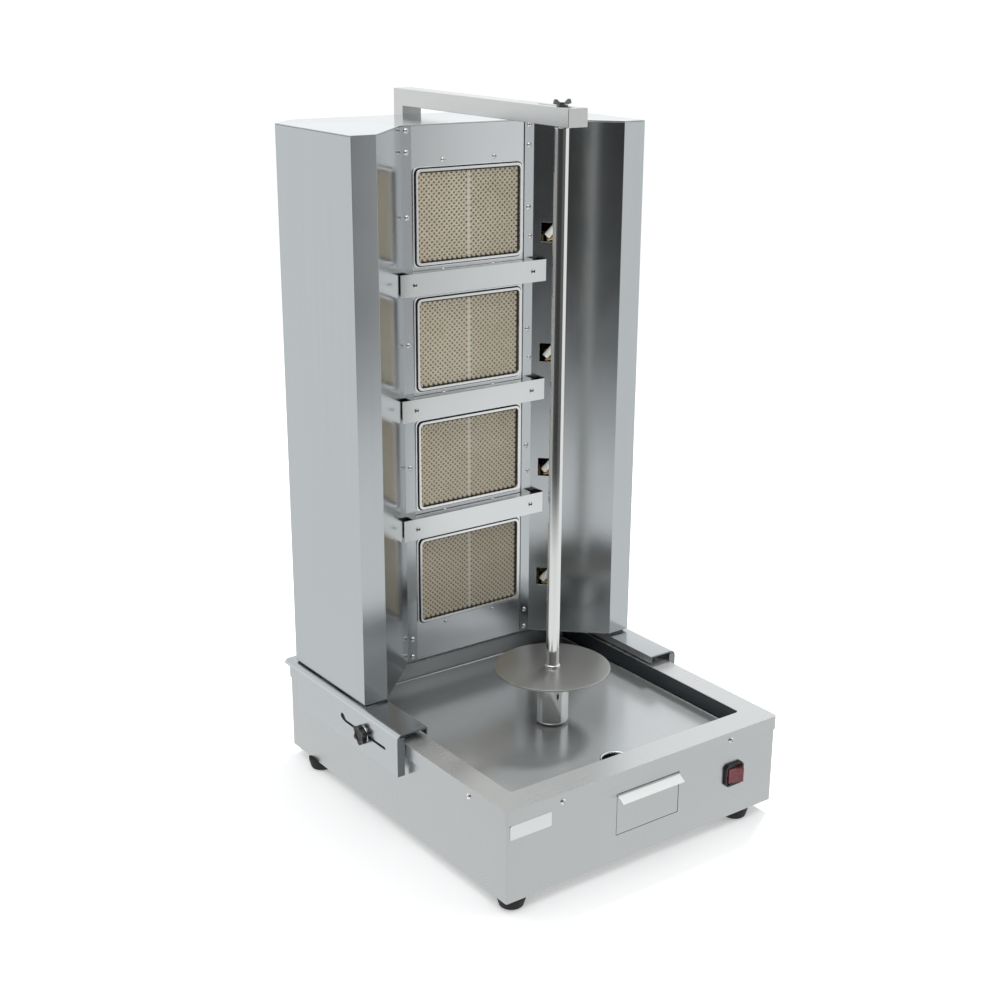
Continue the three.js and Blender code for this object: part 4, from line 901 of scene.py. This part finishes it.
def make_world():
    """A bright studio whose front-left quarter is dark above the edge of the lit floor."""
    world = bpy.data.worlds.new("studio")
    bpy.context.scene.world = world
    world.use_nodes = True
    tree = world.node_tree
    background = tree.nodes["Background"]
    place = tree.nodes.new("ShaderNodeTexCoord").outputs["Generated"]
    axes = tree.nodes.new("ShaderNodeSeparateXYZ")
    tree.links.new(place, axes.inputs[0])

    def math_node(kind, a, b):
        node = tree.nodes.new("ShaderNodeMath")
        node.operation = kind
        for socket, value in zip(node.inputs, (a, b)):
            if isinstance(value, (int, float)):
                socket.default_value = value
            else:
                tree.links.new(value, socket)
        return node.outputs[0]

    def fade(value, none_at, full_at):
        span = tree.nodes.new("ShaderNodeMapRange")
        span.interpolation_type = "SMOOTHSTEP"
        tree.links.new(value, span.inputs["Value"])
        span.inputs["From Min"].default_value = none_at
        span.inputs["From Max"].default_value = full_at
        return span.outputs["Result"]

    def blend(fac, a, b):
        mix = tree.nodes.new("ShaderNodeMix")
        mix.data_type = "FLOAT"
        tree.links.new(fac, mix.inputs[0])
        for socket, value in ((mix.inputs[2], a), (mix.inputs[3], b)):
            if isinstance(value, (int, float)):
                socket.default_value = value
            else:
                tree.links.new(value, socket)
        return mix.outputs[0]

    # the azimuth is zero towards -Y and grows towards +X
    azimuth = math_node("ARCTAN2", axes.outputs["X"], math_node("MULTIPLY", axes.outputs["Y"], -1.0))
    height = axes.outputs["Z"]
    across = math_node(
        "MULTIPLY",
        fade(azimuth, *map(math.radians, DARK_RIGHT)),
        fade(azimuth, *map(math.radians, DARK_LEFT)),
    )
    upright = math_node("MULTIPLY", fade(height, *DARK_BELOW), fade(height, *DARK_ABOVE))
    off_middle = math_node("ABSOLUTE", math_node("SUBTRACT", azimuth, math.radians(DEEP_AZIMUTH)), 0.0)
    dark_level = blend(fade(off_middle, *map(math.radians, DEEP_FADE)), DARK_LEVEL, DEEP_LEVEL)
    back_light = math_node("MULTIPLY", fade(height, *BACK_ABOVE), fade(axes.outputs["Y"], 0.1, 0.7))
    back_light = math_node("MULTIPLY", back_light, fade(height, *BACK_BELOW))
    bright = blend(back_light, WORLD_LEVEL, BACK_LEVEL)
    level = blend(math_node("MULTIPLY", across, upright), bright, dark_level)
    # the backdrop itself is plain and pale: only reflections and light see the studio's dark quarter
    level = blend(tree.nodes.new("ShaderNodeLightPath").outputs["Is Camera Ray"], level, BACKDROP_LEVEL)
    tree.links.new(level, background.inputs["Strength"])
    background.inputs["Color"].default_value = (0.97, 0.99, 1.0, 1)


def area_light(name, place, target, size, watts, glossy=True):
    """A rectangular lamp turned towards a point."""
    light = bpy.data.lights.new(name, "AREA")
    light.shape = "RECTANGLE"
    light.size, light.size_y = size
    light.energy = watts
    obj = bpy.data.objects.new(name, light)
    obj.location = place
    obj.rotation_euler = (Vector(target) - Vector(place)).to_track_quat("-Z", "Y").to_euler()
    obj.visible_glossy = glossy
    bpy.context.scene.collection.objects.link(obj)


def make_camera():
    """The photograph's viewpoint, from a camera fitted to the machine's edges."""
    yaw, pitch, roll = (math.radians(a) for a in (37.72, -19.343, 0.933))
    data = bpy.data.cameras.new("camera")
    data.sensor_width = 36
    data.lens = 57.09
    data.shift_x, data.shift_y = -0.0476, 0.0291
    data.clip_start, data.clip_end = 0.05, 200
    camera = bpy.data.objects.new("camera", data)
    turn = Matrix.Rotation(-yaw, 4, "Z") @ Matrix.Rotation(math.pi / 2 + pitch, 4, "X")
    turn = turn @ Matrix.Rotation(roll, 4, "Z")
    camera.matrix_world = Matrix.Translation(at(-1349.4, -1794.55, 1211.4)) @ turn
    bpy.context.scene.collection.objects.link(camera)
    bpy.context.scene.camera = camera


make_floor()
make_world()
area_light("soft_top", place=(-1.2, -0.6, 3.2), target=(0, 0, 0.5), size=(2.5, 2.5), watts=25)
area_light("key_right", place=(1.45, 0.52, 2.05), target=(0, -0.09, 0.2), size=(0.34, 0.34), watts=52,
           glossy=False)
make_camera()
bpy.context.scene.view_settings.view_transform = "Standard"
